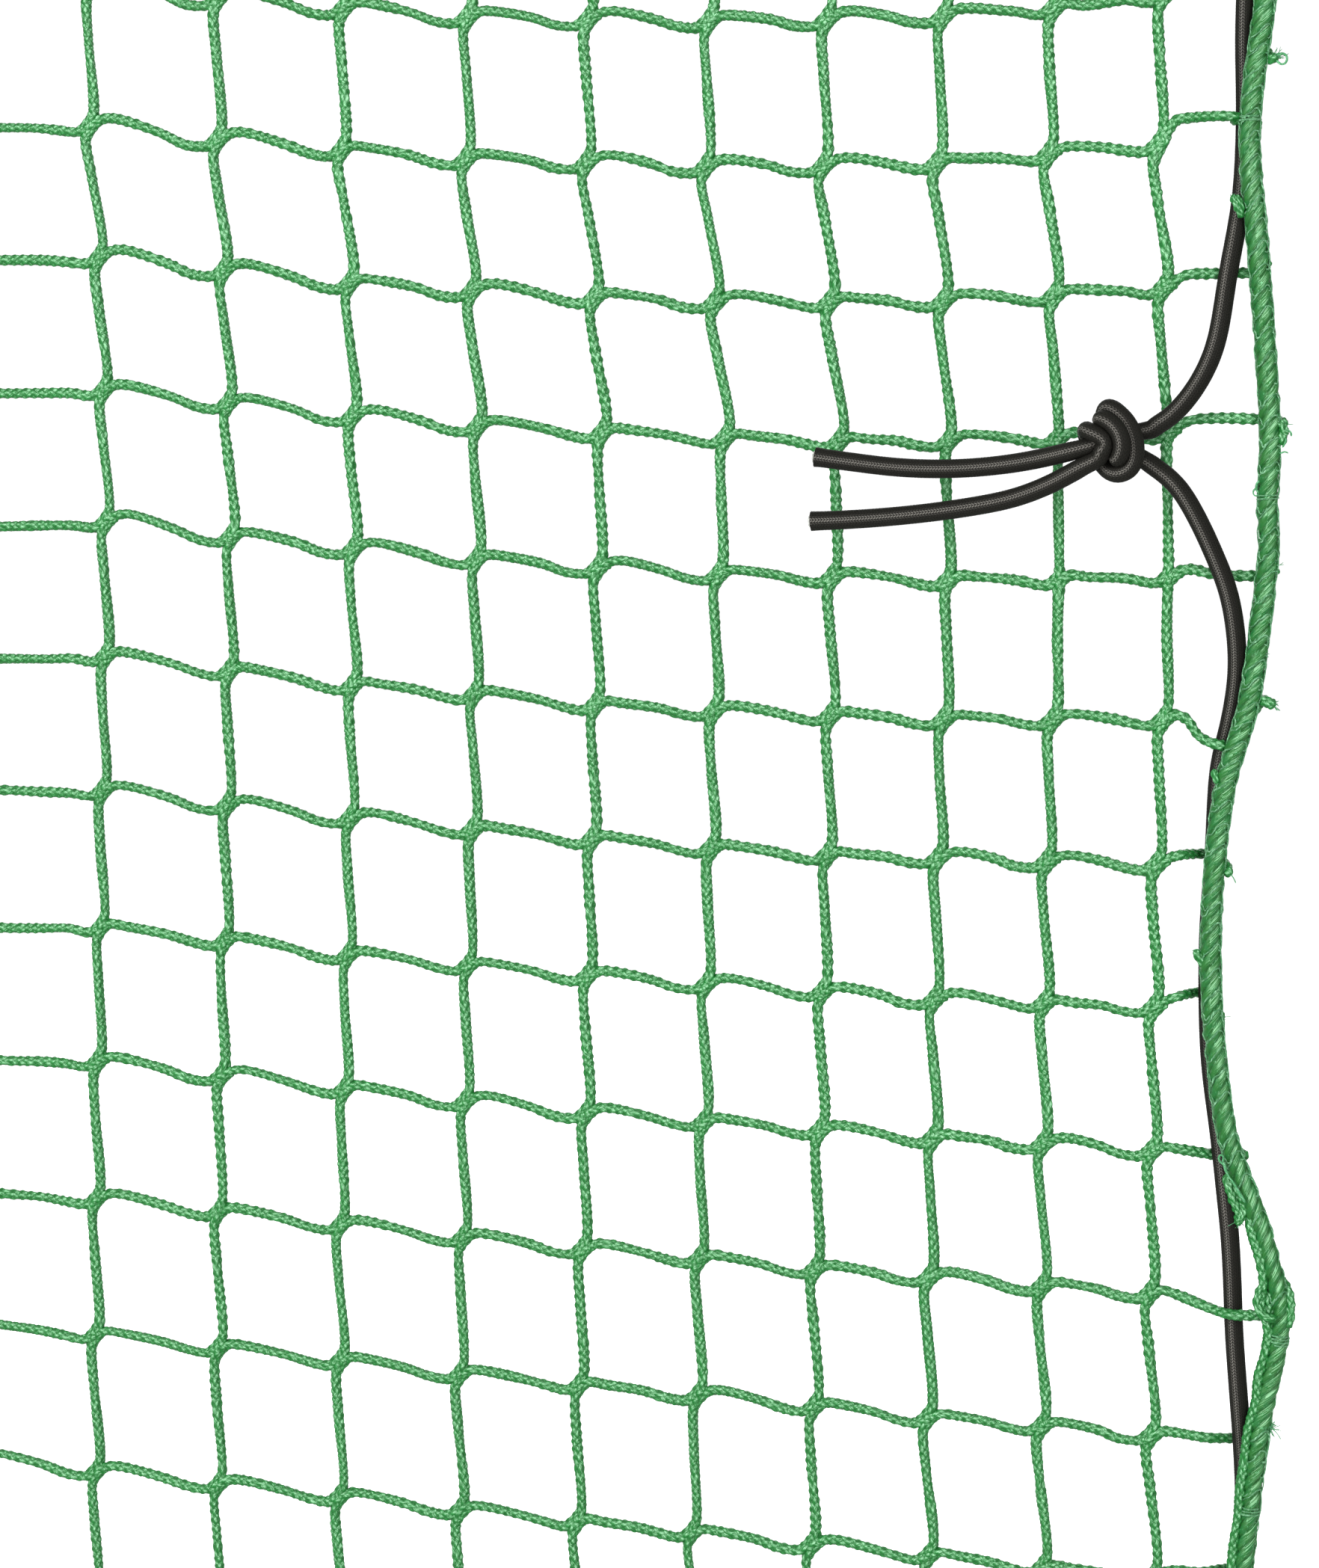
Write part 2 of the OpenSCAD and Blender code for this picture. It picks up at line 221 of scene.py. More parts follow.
class TubeMesh:
    """Gathers closed tubes into one mesh."""

    def __init__(self):
        self.points, self.relief, self.tone, self.rims = [], [], [], []
        self.quads, self.triangles, self.quad_uv, self.triangle_uv = [], [], [], []
        self.count = 0

    def add(self, rings, lengths, relief=None, tone=0.0):
        """rings: rows x sides x 3 points; lengths: along the tube; relief: rows x sides."""
        rows, sides = rings.shape[:2]
        start, body = self.count, rows * sides
        self.points += [rings.reshape(-1, 3), rings[0].mean(0)[None], rings[-1].mean(0)[None]]
        relief = np.full((rows, sides), 0.6) if relief is None else relief
        self.relief.append(np.r_[relief.ravel(), relief[0].mean(), relief[-1].mean()])
        self.tone.append(np.full(body + 2, tone))
        rim = np.full(body + 2, -1)
        rim[:sides] = start
        rim[body - sides:body] = start + 1
        self.rims.append(rim)
        # wall
        side = np.arange(sides)
        after = (side + 1) % sides
        row = start + np.arange(rows - 1)[:, None] * sides
        near, far = row + side, row + after
        quads = np.stack([near, far, far + sides, near + sides], -1)
        self.quads.append(quads.reshape(-1, 4))
        u0, u1, v0, v1 = np.broadcast_arrays(
            side[None] / sides, (side[None] + 1) / sides, lengths[:-1, None], lengths[1:, None])
        self.quad_uv.append(np.stack([u0, v0, u1, v0, u1, v1, u0, v1], -1).reshape(-1, 2))
        # end caps, fanned round their middle points
        first, last = np.full(sides, start + body), np.full(sides, start + body + 1)
        end = start + body - sides
        self.triangles.append(np.stack([start + after, start + side, first], -1))
        self.triangles.append(np.stack([end + side, end + after, last], -1))
        for length in (lengths[0], lengths[-1]):
            level = np.full(sides, length)
            corners = [side / sides, level, (side + 1) / sides, level, (side + 0.5) / sides, level]
            self.triangle_uv.append(np.stack(corners, -1).reshape(-1, 2))
        self.count += body + 2

    def build(self, name, material, slot):
        points = (np.concatenate(self.points) * MM).astype(np.float32)
        quads, triangles = np.concatenate(self.quads), np.concatenate(self.triangles)
        mesh = bpy.data.meshes.new(name)
        mesh.vertices.add(len(points))
        mesh.vertices.foreach_set("co", points.ravel())
        mesh.loops.add(quads.size + triangles.size)
        corners = np.r_[quads.ravel(), triangles.ravel()].astype(np.int32)
        mesh.loops.foreach_set("vertex_index", corners)
        mesh.polygons.add(len(quads) + len(triangles))
        starts = np.r_[np.arange(len(quads)) * 4, quads.size + np.arange(len(triangles)) * 3]
        mesh.polygons.foreach_set("loop_start", starts.astype(np.int32))
        smooth = np.r_[np.ones(len(quads), bool), np.zeros(len(triangles), bool)]
        mesh.polygons.foreach_set("use_smooth", smooth)
        mesh.update(calc_edges=True)
        # sharp rims, so that a cut end does not round the shading of the tube
        edges = np.zeros(len(mesh.edges) * 2, np.int32)
        mesh.edges.foreach_get("vertices", edges)
        ends = np.concatenate(self.rims)[edges.reshape(-1, 2)]
        sharp = mesh.attributes.new("sharp_edge", "BOOLEAN", "EDGE")
        sharp.data.foreach_set("value", (ends[:, 0] == ends[:, 1]) & (ends[:, 0] >= 0))
        uv = np.r_[np.concatenate(self.quad_uv).ravel(), np.concatenate(self.triangle_uv).ravel()]
        mesh.uv_layers.new(name="run").data.foreach_set("uv", uv.astype(np.float32))
        for key, values in (("relief", self.relief), ("tone", self.tone)):
            layer = mesh.attributes.new(key, "FLOAT", "POINT")
            layer.data.foreach_set("value", np.concatenate(values).astype(np.float32))
        mesh.validate(clean_customdata=False)
        mesh.materials.append(material)
        obj = bpy.data.objects.new(name, mesh)
        bpy.context.scene.collection.objects.link(obj)
        return obj


# Mesh cord: eight yarns worked round each other, about 3.2 mm over all
CORD_PAIRS = 4        # yarns turning each way
CORD_LAY = 12.6       # length of one full turn of a yarn
CORD_YARN_WIDTH = 1.05
CORD_SIDES = 20
CORD_STEP = 0.5


def braid_height(angles, lengths):
    """Height 0..1 of the round braid."""
    u = CORD_PAIRS * (angles / (2 * np.pi) - lengths / CORD_LAY)
    v = CORD_PAIRS * (angles / (2 * np.pi) + lengths / CORD_LAY)
    nearest_u, nearest_v = np.round(u), np.round(v)

    def dome(offset):
        return np.sqrt(np.clip(1 - (2 * offset / CORD_YARN_WIDTH) ** 2, 0, 1))

    one_way = dome(u - nearest_u) * (0.5 + 0.5 * np.cos(np.pi * (nearest_u + v)))
    other_way = dome(v - nearest_v) * (0.5 - 0.5 * np.cos(np.pi * (nearest_v + u)))
    return np.maximum(one_way, other_way)


def braided_tube(points, lengths, radius, seed, swell=0.0, relief=0.8, rounded=True, tone=None):
    """Rings, lengths, relief and tone of a braided cord, as TubeMesh.add takes them."""
    _, normals, sides = frames(points)
    angles = angles_round(CORD_SIDES)
    run = lengths + 0.9 * slow_noise(lengths, 5.0, seed + 1)
    height = braid_height(angles[None, :], run[:, None])
    body = radius * (1 + 0.045 * slow_noise(lengths, 9.0, seed + 2)) + swell
    twist = slow_noise(lengths, 30.0, seed + 3)[:, None] * 3
    oval = 1 + 0.08 * np.cos(2 * (angles[None, :] - twist))
    radii = (body[:, None] + relief * (height - 0.55)) * oval
    if rounded:
        for from_end in (lengths, lengths[-1] - lengths):
            inside = ((radius - from_end) / radius).clip(0, 1)
            radii = radii * np.sqrt(np.clip(1 - inside ** 2, 0.06, 1))[:, None]
    if tone is None:
        tone = np.random.default_rng(seed + 5).uniform(-0.5, 0.5)
    return tube_rings(points, normals, sides, angles, radii), run, height, tone


def cord(mesh, points, radius, seed, relief=0.8, tone=None):
    """A short braided cord with rounded ends."""
    line, lengths = spline(points, CORD_STEP)
    mesh.add(*braided_tube(line, lengths, radius, seed, relief=relief, tone=tone))


def thread(mesh, points, radius, step, tone, sides=6):
    """A thin uneven thread that tapers at its ends."""
    line, lengths = spline(points, step)
    _, normals, binormals = frames(line)
    uneven = slow_noise(lengths, 2.4, int(abs(line[0]).sum() * 10) % 9973)
    radii = np.full((len(lengths), sides), radius) * (1 + 0.35 * uneven)[:, None]
    from_end = np.minimum(lengths, lengths[-1] - lengths)
    radii *= np.clip(from_end / radius + 0.35, 0, 1)[:, None]
    rings = tube_rings(line, normals, binormals, angles_round(sides), radii)
    mesh.add(rings, lengths, None, tone)


# ---------------------------------------------------------------- shader building


class Number:
    """A number in a node tree, with arithmetic."""

    def __init__(self, graph, socket):
        self.graph, self.socket = graph, socket

    def op(self, kind, *others):
        return self.graph.math(kind, self, *others)

    def __add__(self, other):
        return self.op("ADD", other)

    def __sub__(self, other):
        return self.op("SUBTRACT", other)

    def __rsub__(self, other):
        return self.graph.math("SUBTRACT", other, self)

    def __mul__(self, other):
        return self.op("MULTIPLY", other)

    def __truediv__(self, other):
        return self.op("DIVIDE", other)

    def positive(self):
        return self.op("MAXIMUM", 0)

    def at_most_one(self):
        return self.op("MINIMUM", 1.0)

    def dome(self):
        """Half circle: 1 at 0, falling to 0 at -1 and 1."""
        return (1.0 - self.op("POWER", 2)).positive().op("SQRT")


class Graph:
    """Adds nodes to the tree of a material or a world."""

    def __init__(self, tree):
        self.tree = tree

    def feed(self, value, target):
        """Links a socket or Number to an input, or sets its number or RGB colour."""
        if isinstance(value, Number):
            value = value.socket
        if hasattr(value, "is_output"):
            self.tree.links.new(value, target)
        elif isinstance(value, tuple):
            target.default_value = (*value, 1.0)
        else:
            target.default_value = float(value)

    def node(self, kind, inputs=None, **settings):
        made = self.tree.nodes.new("ShaderNode" + kind)
        for key, value in settings.items():
            setattr(made, key, value)
        for key, value in (inputs or {}).items():
            self.feed(value, made.inputs[key])
        return made

    def math(self, kind, *values):
        made = self.node("Math", dict(enumerate(values)), operation=kind)
        return Number(self, made.outputs[0])

    def vector(self, *xyz):
        return self.node("CombineXYZ", dict(enumerate(xyz))).outputs[0]

    def vector_math(self, kind, *vectors, scale=None):
        inputs = dict(enumerate(vectors))
        if scale is not None:
            inputs["Scale"] = scale
        return self.node("VectorMath", inputs, operation=kind).outputs[0]

    def dot(self, one, other):
        made = self.node("VectorMath", {0: one, 1: other}, operation="DOT_PRODUCT")
        return Number(self, made.outputs["Value"])

    def noise(self, xyz, detail, roughness=0.5):
        inputs = {"Scale": 1.0, "Detail": detail, "Roughness": roughness,
                  "Vector": self.vector(*xyz)}
        return Number(self, self.node("TexNoise", inputs).outputs["Fac"])

    def mix_numbers(self, factor, zero, one):
        made = self.node("Mix", {0: factor, 2: zero, 3: one}, data_type="FLOAT")
        return Number(self, made.outputs[0])

    def mix_colours(self, factor, zero, one):
        return self.node("Mix", {0: factor, 6: zero, 7: one}, data_type="RGBA").outputs[2]

    def ramp(self, factor, stops):
        made = self.node("ValToRGB")
        elements = made.color_ramp.elements
        while len(elements) < len(stops):
            elements.new(0.5)
        for element, (position, colour) in zip(elements, stops):
            element.position = position
            element.color = (*colour, 1.0)
        self.feed(factor, made.inputs[0])
        return made.outputs[0]

    def tone(self):
        return Number(self, self.node("Attribute", attribute_name="tone").outputs["Fac"])

    def bump(self, height, distance_mm, strength):
        inputs = {"Distance": distance_mm * MM, "Strength": strength, "Height": height}
        return self.node("Bump", inputs).outputs[0]

    def run_coords(self):
        """Turns round the tube (0..1) and length along it in mm."""
        uv = self.node("UVMap", uv_map="run")
        parts = self.node("SeparateXYZ", {0: uv.outputs[0]})
        return Number(self, parts.outputs[0]), Number(self, parts.outputs[1])

    def tube_axes(self):
        """Unit vectors round the tube and along it."""
        tangent = self.node("Tangent", direction_type="UV_MAP", uv_map="run").outputs[0]
        geometry = self.node("NewGeometry")
        return tangent, self.vector_math("CROSS_PRODUCT", geometry.outputs["Normal"], tangent)

    def surface(self, inputs):
        """Sets the inputs of the material's Principled BSDF."""
        for key, value in inputs.items():
            self.feed(value, self.tree.nodes["Principled BSDF"].inputs[key])


def new_material(name):
    material = bpy.data.materials.new(name)
    material.use_nodes = True
    return material, Graph(material.node_tree)


# Fixed light directions for the painted highlights
LIGHT_LEFT = (-0.142, -0.868, 0.477)     # towards the soft light at the upper left
LIGHT_RIGHT = (0.62, -0.75, 0.22)        # towards the one on the right


def painted_fibre_highlight(graph, fibre, light, power, width, normal):
    """Painted highlight of filaments, mixed into the base colour: bright where they stand square
    to the half vector of the view and a fixed light direction.
    """
    geometry = graph.node("NewGeometry")
    towards = graph.vector(*light)
    summed = graph.vector_math("ADD", geometry.outputs["Incoming"], towards)
    half = graph.vector_math("NORMALIZE", summed)
    along = graph.dot(half, fibre)
    facing = graph.dot(half, normal)
    line = ((along * (1.0 / width)).op("POWER", 2) * -1.0).op("EXPONENT")
    return line * facing.positive().op("POWER", power)


def fibre_direction(graph, hand, angle):
    """Direction of filaments lying at an angle in degrees to the tube."""
    around, along = graph.tube_axes()
    lengthways = graph.vector_math("SCALE", along, scale=math.cos(math.radians(angle)))
    sideways = graph.vector_math("SCALE", around, scale=hand * math.sin(math.radians(angle)))
    return graph.vector_math("NORMALIZE", graph.vector_math("ADD", lengthways, sideways))


def crest_facing(graph, light):
    """How squarely the surface faces the light, seen along the cord: 1 on the lit crest."""
    _, along = graph.tube_axes()
    geometry = graph.node("NewGeometry")
    side = graph.vector_math("CROSS_PRODUCT", along, graph.vector(*light))
    crest = graph.vector_math("NORMALIZE", graph.vector_math("CROSS_PRODUCT", side, along))
    return graph.dot(crest, geometry.outputs["Normal"])


def braid_pattern(graph, turn, length):
    """Height of the braid, whether a one-way yarn lies on top, and the top yarn's filaments."""
    u = (turn - length / CORD_LAY) * CORD_PAIRS
    v = (turn + length / CORD_LAY) * CORD_PAIRS
    nearest_u, nearest_v = u.op("ROUND"), v.op("ROUND")
    off_u, off_v = u - nearest_u, v - nearest_v
    dome_u = (off_u * (2 / CORD_YARN_WIDTH)).dome()
    dome_v = (off_v * (2 / CORD_YARN_WIDTH)).dome()
    wave_u = ((nearest_u + v) * math.pi).op("COSINE") * 0.5 + 0.5
    wave_v = ((nearest_v + u) * math.pi).op("COSINE") * -0.5 + 0.5
    height_u, height_v = dome_u * wave_u, dome_v * wave_v
    over = height_u.op("GREATER_THAN", height_v)
    height = height_u.op("MAXIMUM", height_v)
    # streaks are fine across the yarn (5.5), long along it (1.0), and differ between yarns
    streaks_u = graph.noise((off_u * 5.5 + nearest_u * 5.3, v * 1.0, 2.0), 2.0, roughness=0.6)
    streaks_v = graph.noise((off_v * 5.5 + nearest_v * 7.1, u * 1.0, 11.0), 2.0, roughness=0.6)
    return height, over, graph.mix_numbers(over, streaks_v, streaks_u)


# ---------------------------------------------------------------- materials
# Ramp stops are (position, linear RGB), from the hollows to the lit crests; where a ramp is driven
# by relief height (cord, rope, elastic) its dark stops are painted shade in the hollows and its
# light stops painted light on the crests.

CORD_GREENS = [(0.14, (0.0056, 0.108, 0.0148)), (0.40, (0.0084, 0.147, 0.0212)),
               (0.64, (0.0134, 0.191, 0.033)), (0.98, (0.048, 0.358, 0.097))]
ROPE_GREENS = [(0.10, (0.0070, 0.074, 0.0120)), (0.42, (0.0112, 0.108, 0.0170)),
               (0.68, (0.0180, 0.148, 0.0240)), (0.98, (0.044, 0.25, 0.052))]
LACE_GREENS = [(0.25, (0.016, 0.13, 0.036)), (0.5, (0.040, 0.23, 0.075)),
               (0.75, (0.34, 0.72, 0.42))]
FRAY_GREENS = [(0.25, (0.015, 0.17, 0.045)), (0.5, (0.045, 0.30, 0.10)),
               (0.75, (0.24, 0.60, 0.34))]
ELASTIC_BLACKS = [(0.1, (0.0048, 0.0046, 0.0036)), (0.55, (0.0110, 0.0106, 0.0084)),
                  (0.95, (0.0195, 0.0188, 0.0155))]
CORE_GREYS = [(0.1, (0.80, 0.81, 0.76)), (0.7, (0.42, 0.43, 0.40))]


def mesh_cord_material():
    """Green braid with glossy filaments, painted shade in its hollows and painted highlights on
    its brightest filaments.
    """
    material, graph = new_material("mesh_cord_braid")
    turn, length = graph.run_coords()
    height, over, streaks = braid_pattern(graph, turn, length)
    blotches = graph.noise((turn * 3.0, length * 0.3, 4.0), detail=1.0)
    tone = graph.tone()
    normal = graph.bump(height * 0.6 + streaks * 0.6, distance_mm=0.32, strength=1.0)
    fibre = fibre_direction(graph, over * 2.0 - 1.0, angle=36)
    # painted highlight mask from two fixed light directions, mixed into the base colour below
    painted_shine = (painted_fibre_highlight(graph, fibre, LIGHT_LEFT, power=5.0, width=0.33, normal=normal)
             + painted_fibre_highlight(graph, fibre, LIGHT_RIGHT, power=5.0, width=0.33, normal=normal) * 0.8)
    # painted shade and tone: weights of braid height (painted shade in the hollows, painted light
    # on the crests), filaments, blotches and the cord's own tone
    painted_shade_and_tone = (height * 0.50 + (streaks - 0.5) * 0.85 + (blotches - 0.5) * 0.4
             + tone * 0.06 + 0.12)
    colour = graph.ramp(painted_shade_and_tone, CORD_GREENS)
    # painted highlight: pale sparks on the brightest filaments only, where the painted shine falls
    painted_spark = (painted_shine * (streaks * 4.0 - 1.55).positive() * height * 1.3).at_most_one()
    colour = graph.mix_colours(painted_spark * 0.72, colour, (0.45, 0.85, 0.52))
    graph.surface({
        "Base Color": colour,
        "Roughness": 0.50 - streaks * 0.22,
        "Specular IOR Level": 0.4,
        "Specular Tint": (0.55, 1.0, 0.65),
        "Sheen Weight": 0.14,
        "Sheen Roughness": 0.3,
        "Sheen Tint": (0.5, 1.0, 0.6),
        "Normal": normal,
    })
    return material


ROPE_STRANDS, ROPE_LAY = 4, 20.0


def rope_material():
    """Darker green laid rope, partly filmed over, with painted shade over the strand profile and
    painted glints and sparks.
    """
    material, graph = new_material("laid_rope")
    turn, length = graph.run_coords()
    strand = (turn - length / ROPE_LAY) * ROPE_STRANDS
    nearest = strand.op("ROUND")
    offset = strand - nearest
    along = length * 0.35 + turn * 2.0
    # noise across each strand, stretched along it
    fine = graph.noise((offset * 13.0 + nearest * 3.7, along * 0.32, 1.0), 3.0, roughness=0.6)
    wide = graph.noise((offset * 4.0 + nearest * 9.1, along * 0.22, 6.0), detail=1.0)
    profile = (offset * 2.0).dome()
    normal = graph.bump(fine * 0.8 + profile * 0.3, distance_mm=0.25, strength=0.9)
    fibre = fibre_direction(graph, 1.0, angle=43)
    # painted highlight mask, for the glints and sparks below
    painted_shine = (painted_fibre_highlight(graph, fibre, LIGHT_LEFT, power=10.0, width=0.38, normal=normal) * 1.3
             + painted_fibre_highlight(graph, fibre, LIGHT_RIGHT, power=9.0, width=0.38, normal=normal) * 0.8)
    tone = graph.tone()
    # painted shade and tone: weights of strand profile (painted shade at the strand edges, painted
    # light on their crowns), fine and wide noise and tone
    painted_shade_and_tone = profile * 0.5 + (fine - 0.5) * 0.5 + (wide - 0.5) * 0.5 + tone * 0.05 + 0.12
    colour = graph.ramp(painted_shade_and_tone, ROPE_GREENS)
    # brighter green film in patches: threshold 0.47, steepness 9
    patches = graph.noise((turn * 5.0, length * 0.42, 17.0), 3.0, roughness=0.6)
    film = ((patches - 0.47) * 9.0).positive().at_most_one()
    colour = graph.mix_colours(film * 0.75, colour, (0.0095, 0.140, 0.031))
    # painted highlight: narrow slanted glints, faint even out of the light
    ticks = graph.noise(((turn - length / 60.0) * 42.0, length * 0.62, 23.0), detail=2.0)
    painted_glint = ((ticks - 0.63) * 14.0).positive().at_most_one() * (painted_shine * 1.6 + 0.25).at_most_one()
    colour = graph.mix_colours(painted_glint * 0.8, colour, (0.20, 0.62, 0.30))
    # painted highlight: pale sparks where fine and wide noise are both high and the painted shine
    # falls
    painted_spark = (painted_shine * (fine * 5.0 - 2.35).positive() * (wide * 2.2 - 0.4).positive()
             * 2.2).at_most_one()
    colour = graph.mix_colours(painted_spark * 0.75, colour, (0.36, 0.72, 0.40))
    graph.surface({
        "Base Color": colour,
        "Roughness": 0.42 - fine * 0.18,
        "Specular IOR Level": 0.4,
        "Specular Tint": (0.6, 1.0, 0.6),
        "Sheen Weight": 0.06,
        "Sheen Tint": (0.6, 1.0, 0.65),
        "Normal": normal,
    })
    return material


def thread_material(name, stops, roughness):
    material, graph = new_material(name)
    turn, length = graph.run_coords()
    place = (turn * 6.0 + length * 1.4, length * 0.5, graph.tone() * 7.0)
    mottle = graph.noise(place, detail=2.0)
    colour = graph.ramp(mottle, stops)
    twist = ((turn * 3.0 + length * 1.3) * (2 * math.pi)).op("SINE")
    graph.surface({
        "Base Color": colour,
        "Roughness": roughness,
        "Specular IOR Level": 0.6,
        "Sheen Weight": 0.15,
        "Normal": graph.bump(twist * 0.5 + mottle * 0.5, distance_mm=0.06, strength=0.8),
    })
    return material


def elastic_material():
    """Smooth braided cover: 24 columns of slanted stitches that lean left and right by turns, with
    painted shade between them and a painted grey highlight along the crest.
    """
    material, graph = new_material("elastic_braid")
    turn, length = graph.run_coords()
    stitch_columns, stitch_length, slant = 24.0, 0.92, 0.95
    place = turn * stitch_columns + 0.5
    column = place.op("FLOOR")
    across = place - column
    hand = (column * 0.5).op("FRACT") * 4.0 - 1.0
    # 40 keeps the phase positive
    phase = (length / stitch_length - (across - 0.5) * hand * slant + 40.0).op("FRACT")
    ridge = (phase * 2.0 - 1.0).dome()
    side = (across * 2.0 - 1.0).dome()
    height = ridge * (side * 0.7 + 0.3)
    grain = graph.noise((turn * 40.0, length * 0.9, 3.0), detail=2.0)
    facing = crest_facing(graph, (-0.24, -0.95, 0.06))
    painted_shine = ((facing - 1.0) * 32.0).op("EXPONENT")       # a narrow band along the crest, for the painted highlight
    # painted shade: the ramp runs darker in the grooves between stitches and lighter on their tops
    colour = graph.ramp(height * 0.8 + (grain - 0.5) * 0.3, ELASTIC_BLACKS)
    # painted grey highlight on the tops of the stitches
    tops = ((height - 0.56) * 3.4 + (grain - 0.5) * 0.8).positive()
    painted_tick_highlight = (painted_shine * tops).at_most_one()
    colour = graph.mix_colours(painted_tick_highlight * 0.70, colour, (0.21, 0.20, 0.18))
    graph.surface({
        "Base Color": colour,
        "Roughness": 0.62,
        "Specular IOR Level": 0.10,
        "Normal": graph.bump(height + grain * 0.2, distance_mm=0.12, strength=0.8),
    })
    return material


def core_material():
    """Pale grainy rubber."""
    material, graph = new_material("rubber_core")
    coords = graph.node("TexCoord")
    cells = graph.node("TexVoronoi", {"Scale": 1400.0, "Vector": coords.outputs["Object"]})
    distance = Number(graph, cells.outputs["Distance"])
    graph.surface({
        "Base Color": graph.ramp(distance, CORE_GREYS),
        "Roughness": 0.6,
        "Normal": graph.bump(1.0 - distance, distance_mm=0.25, strength=0.8),
    })
    return material


CORD = mesh_cord_material()
ROPE = rope_material()
LACE = thread_material("lacing_thread", LACE_GREENS, roughness=0.35)
FRAY = thread_material("frayed_fibre", FRAY_GREENS, roughness=0.5)
ELASTIC = elastic_material()
CORE = core_material()

# ---------------------------------------------------------------- border rope

# Right-hand side of the rope, downwards: height, sideways drift
ROPE_DRIFT = [
    (635, -5), (610, -8.6), (598, -10.0), (585, -10.9), (574, -10.6), (549, -7.6), (513, -3.6),
    (487, -1.3), (467, -1.3), (453, -0.5), (441, -1.2), (429, -2.2), (405, -4.9), (380, -11.0),
    (350, -13.7), (318, -13.3), (293, -10.7), (268, -6.2), (241, 4.6), (230, 8.0), (218, 11.4),
    (211, 12.2), (203, 11.4), (193, 9.9), (181, 7.7), (140, 4.2), (100, 1.5), (60, 0), (30, 0)]
CORNER = 16.0
ROPE_STEP = 0.55
ROPE_SIDES = 44


def corner(x, z, radius, start, end):
    """Five points on an arc, angles in degrees."""
    return [(x + radius * math.cos(math.radians(a)), 0.0, z + radius * math.sin(math.radians(a)))
            for a in np.linspace(start, end, 5)]


def rope_path():
    """Clockwise from the seam on the left side, as seen from the front; sides waver a little."""
    path = [(-SIDE, 0, SEAM_Z)]
    for i, z in enumerate(np.arange(SEAM_Z + 40, TOP - CORNER - 10, 40)):
        path.append((-SIDE + 1.5 * math.sin(i * 1.7), 0, z))
    path += corner(-SIDE + CORNER, TOP - CORNER, CORNER, 180, 90)
    for i, x in enumerate(np.arange(-SIDE + CORNER + 40, SIDE - CORNER - 15, 42)):
        path.append((x, 0, TOP + 1.2 * math.sin(i * 2.1 + 1)))
    path += corner(SIDE - CORNER - 2.0, TOP - CORNER, CORNER, 90, 10)
    path += [(SIDE + drift, 0, z + LIFT) for z, drift in ROPE_DRIFT]
    path += corner(SIDE - CORNER, BOTTOM + CORNER, CORNER, 0, -90)[1:]
    for i, x in enumerate(np.arange(SIDE - CORNER - 40, -SIDE + CORNER + 15, -42)):
        path.append((x, 0, BOTTOM + 1.0 * math.sin(i * 1.9 + 2)))
    path += corner(-SIDE + CORNER, BOTTOM + CORNER, CORNER, 270, 180)
    for i, z in enumerate(np.arange(BOTTOM + CORNER + 40, SEAM_Z - 15, 40)):
        path.append((-SIDE + 1.2 * math.sin(i * 1.3 + 2), 0, z))
    return path + [(-SIDE, 0, SEAM_Z)]


rope_line, rope_lengths = spline(rope_path(), ROPE_STEP)
rope_lay = rope_lengths[-1] / round(rope_lengths[-1] / ROPE_LAY)
rope_run = rope_lengths * (ROPE_LAY / rope_lay)          # lengths counted in nominal lays
_, rope_normals, rope_sides = frames(rope_line)
rope_x_all, rope_z_all = rope_line[:, 0], rope_line[:, 2]
on_right = rope_x_all > RIGHT_ZONE
rope_cut = int(np.where(on_right & (rope_z_all < SEAM_Z))[0][0])


def ordered(mask, heights):
    found = np.where(mask)[0]
    return found[np.argsort(heights[found])]


# indices of the rope's points on each side, ordered by height or by x
between_4 = (rope_z_all > BOTTOM + 4) & (rope_z_all < TOP - 4)
between_10 = (rope_z_all > BOTTOM + 10) & (rope_z_all < TOP - 10)
off_corners = np.abs(rope_x_all) < SIDE - 12
RIGHT_ROPE = ordered(on_right & between_4, rope_z_all)
LEFT_ROPE = ordered((rope_x_all < -SIDE + 25) & between_10, rope_z_all)
TOP_ROPE = ordered((rope_z_all > TOP - 6) & off_corners, rope_x_all)
BOTTOM_ROPE = ordered((rope_z_all < BOTTOM + 6) & off_corners, rope_x_all)


def rope_x(z, part=RIGHT_ROPE):
    """x of a side rope at a height."""
    return np.interp(z, rope_z_all[part], rope_x_all[part])


def rope_z(x, part):
    """Height of the top or bottom rope at an x."""
    return np.interp(x, rope_x_all[part], rope_z_all[part])


def rope_length_at(z):
    """Length along the rope where its right-hand side is at a height."""
    return float(np.interp(z, rope_z_all[RIGHT_ROPE], rope_lengths[RIGHT_ROPE]))


def rope_radius(angle, run):
    """Radius over the four strands, and the strand profile 0..1."""
    strand = ROPE_STRANDS * (angle / (2 * np.pi) - run / ROPE_LAY)
    nearest = np.round(strand)
    size = 1 + 0.16 * np.sin(run * 0.37 + 1.9 * nearest) * np.sin(run * 0.11 + nearest)
    profile = np.sqrt(np.clip(1 - (2 * (strand - nearest)) ** 2, 0, 1))
    return 2.36 + 0.88 * size * profile ** 0.85, profile


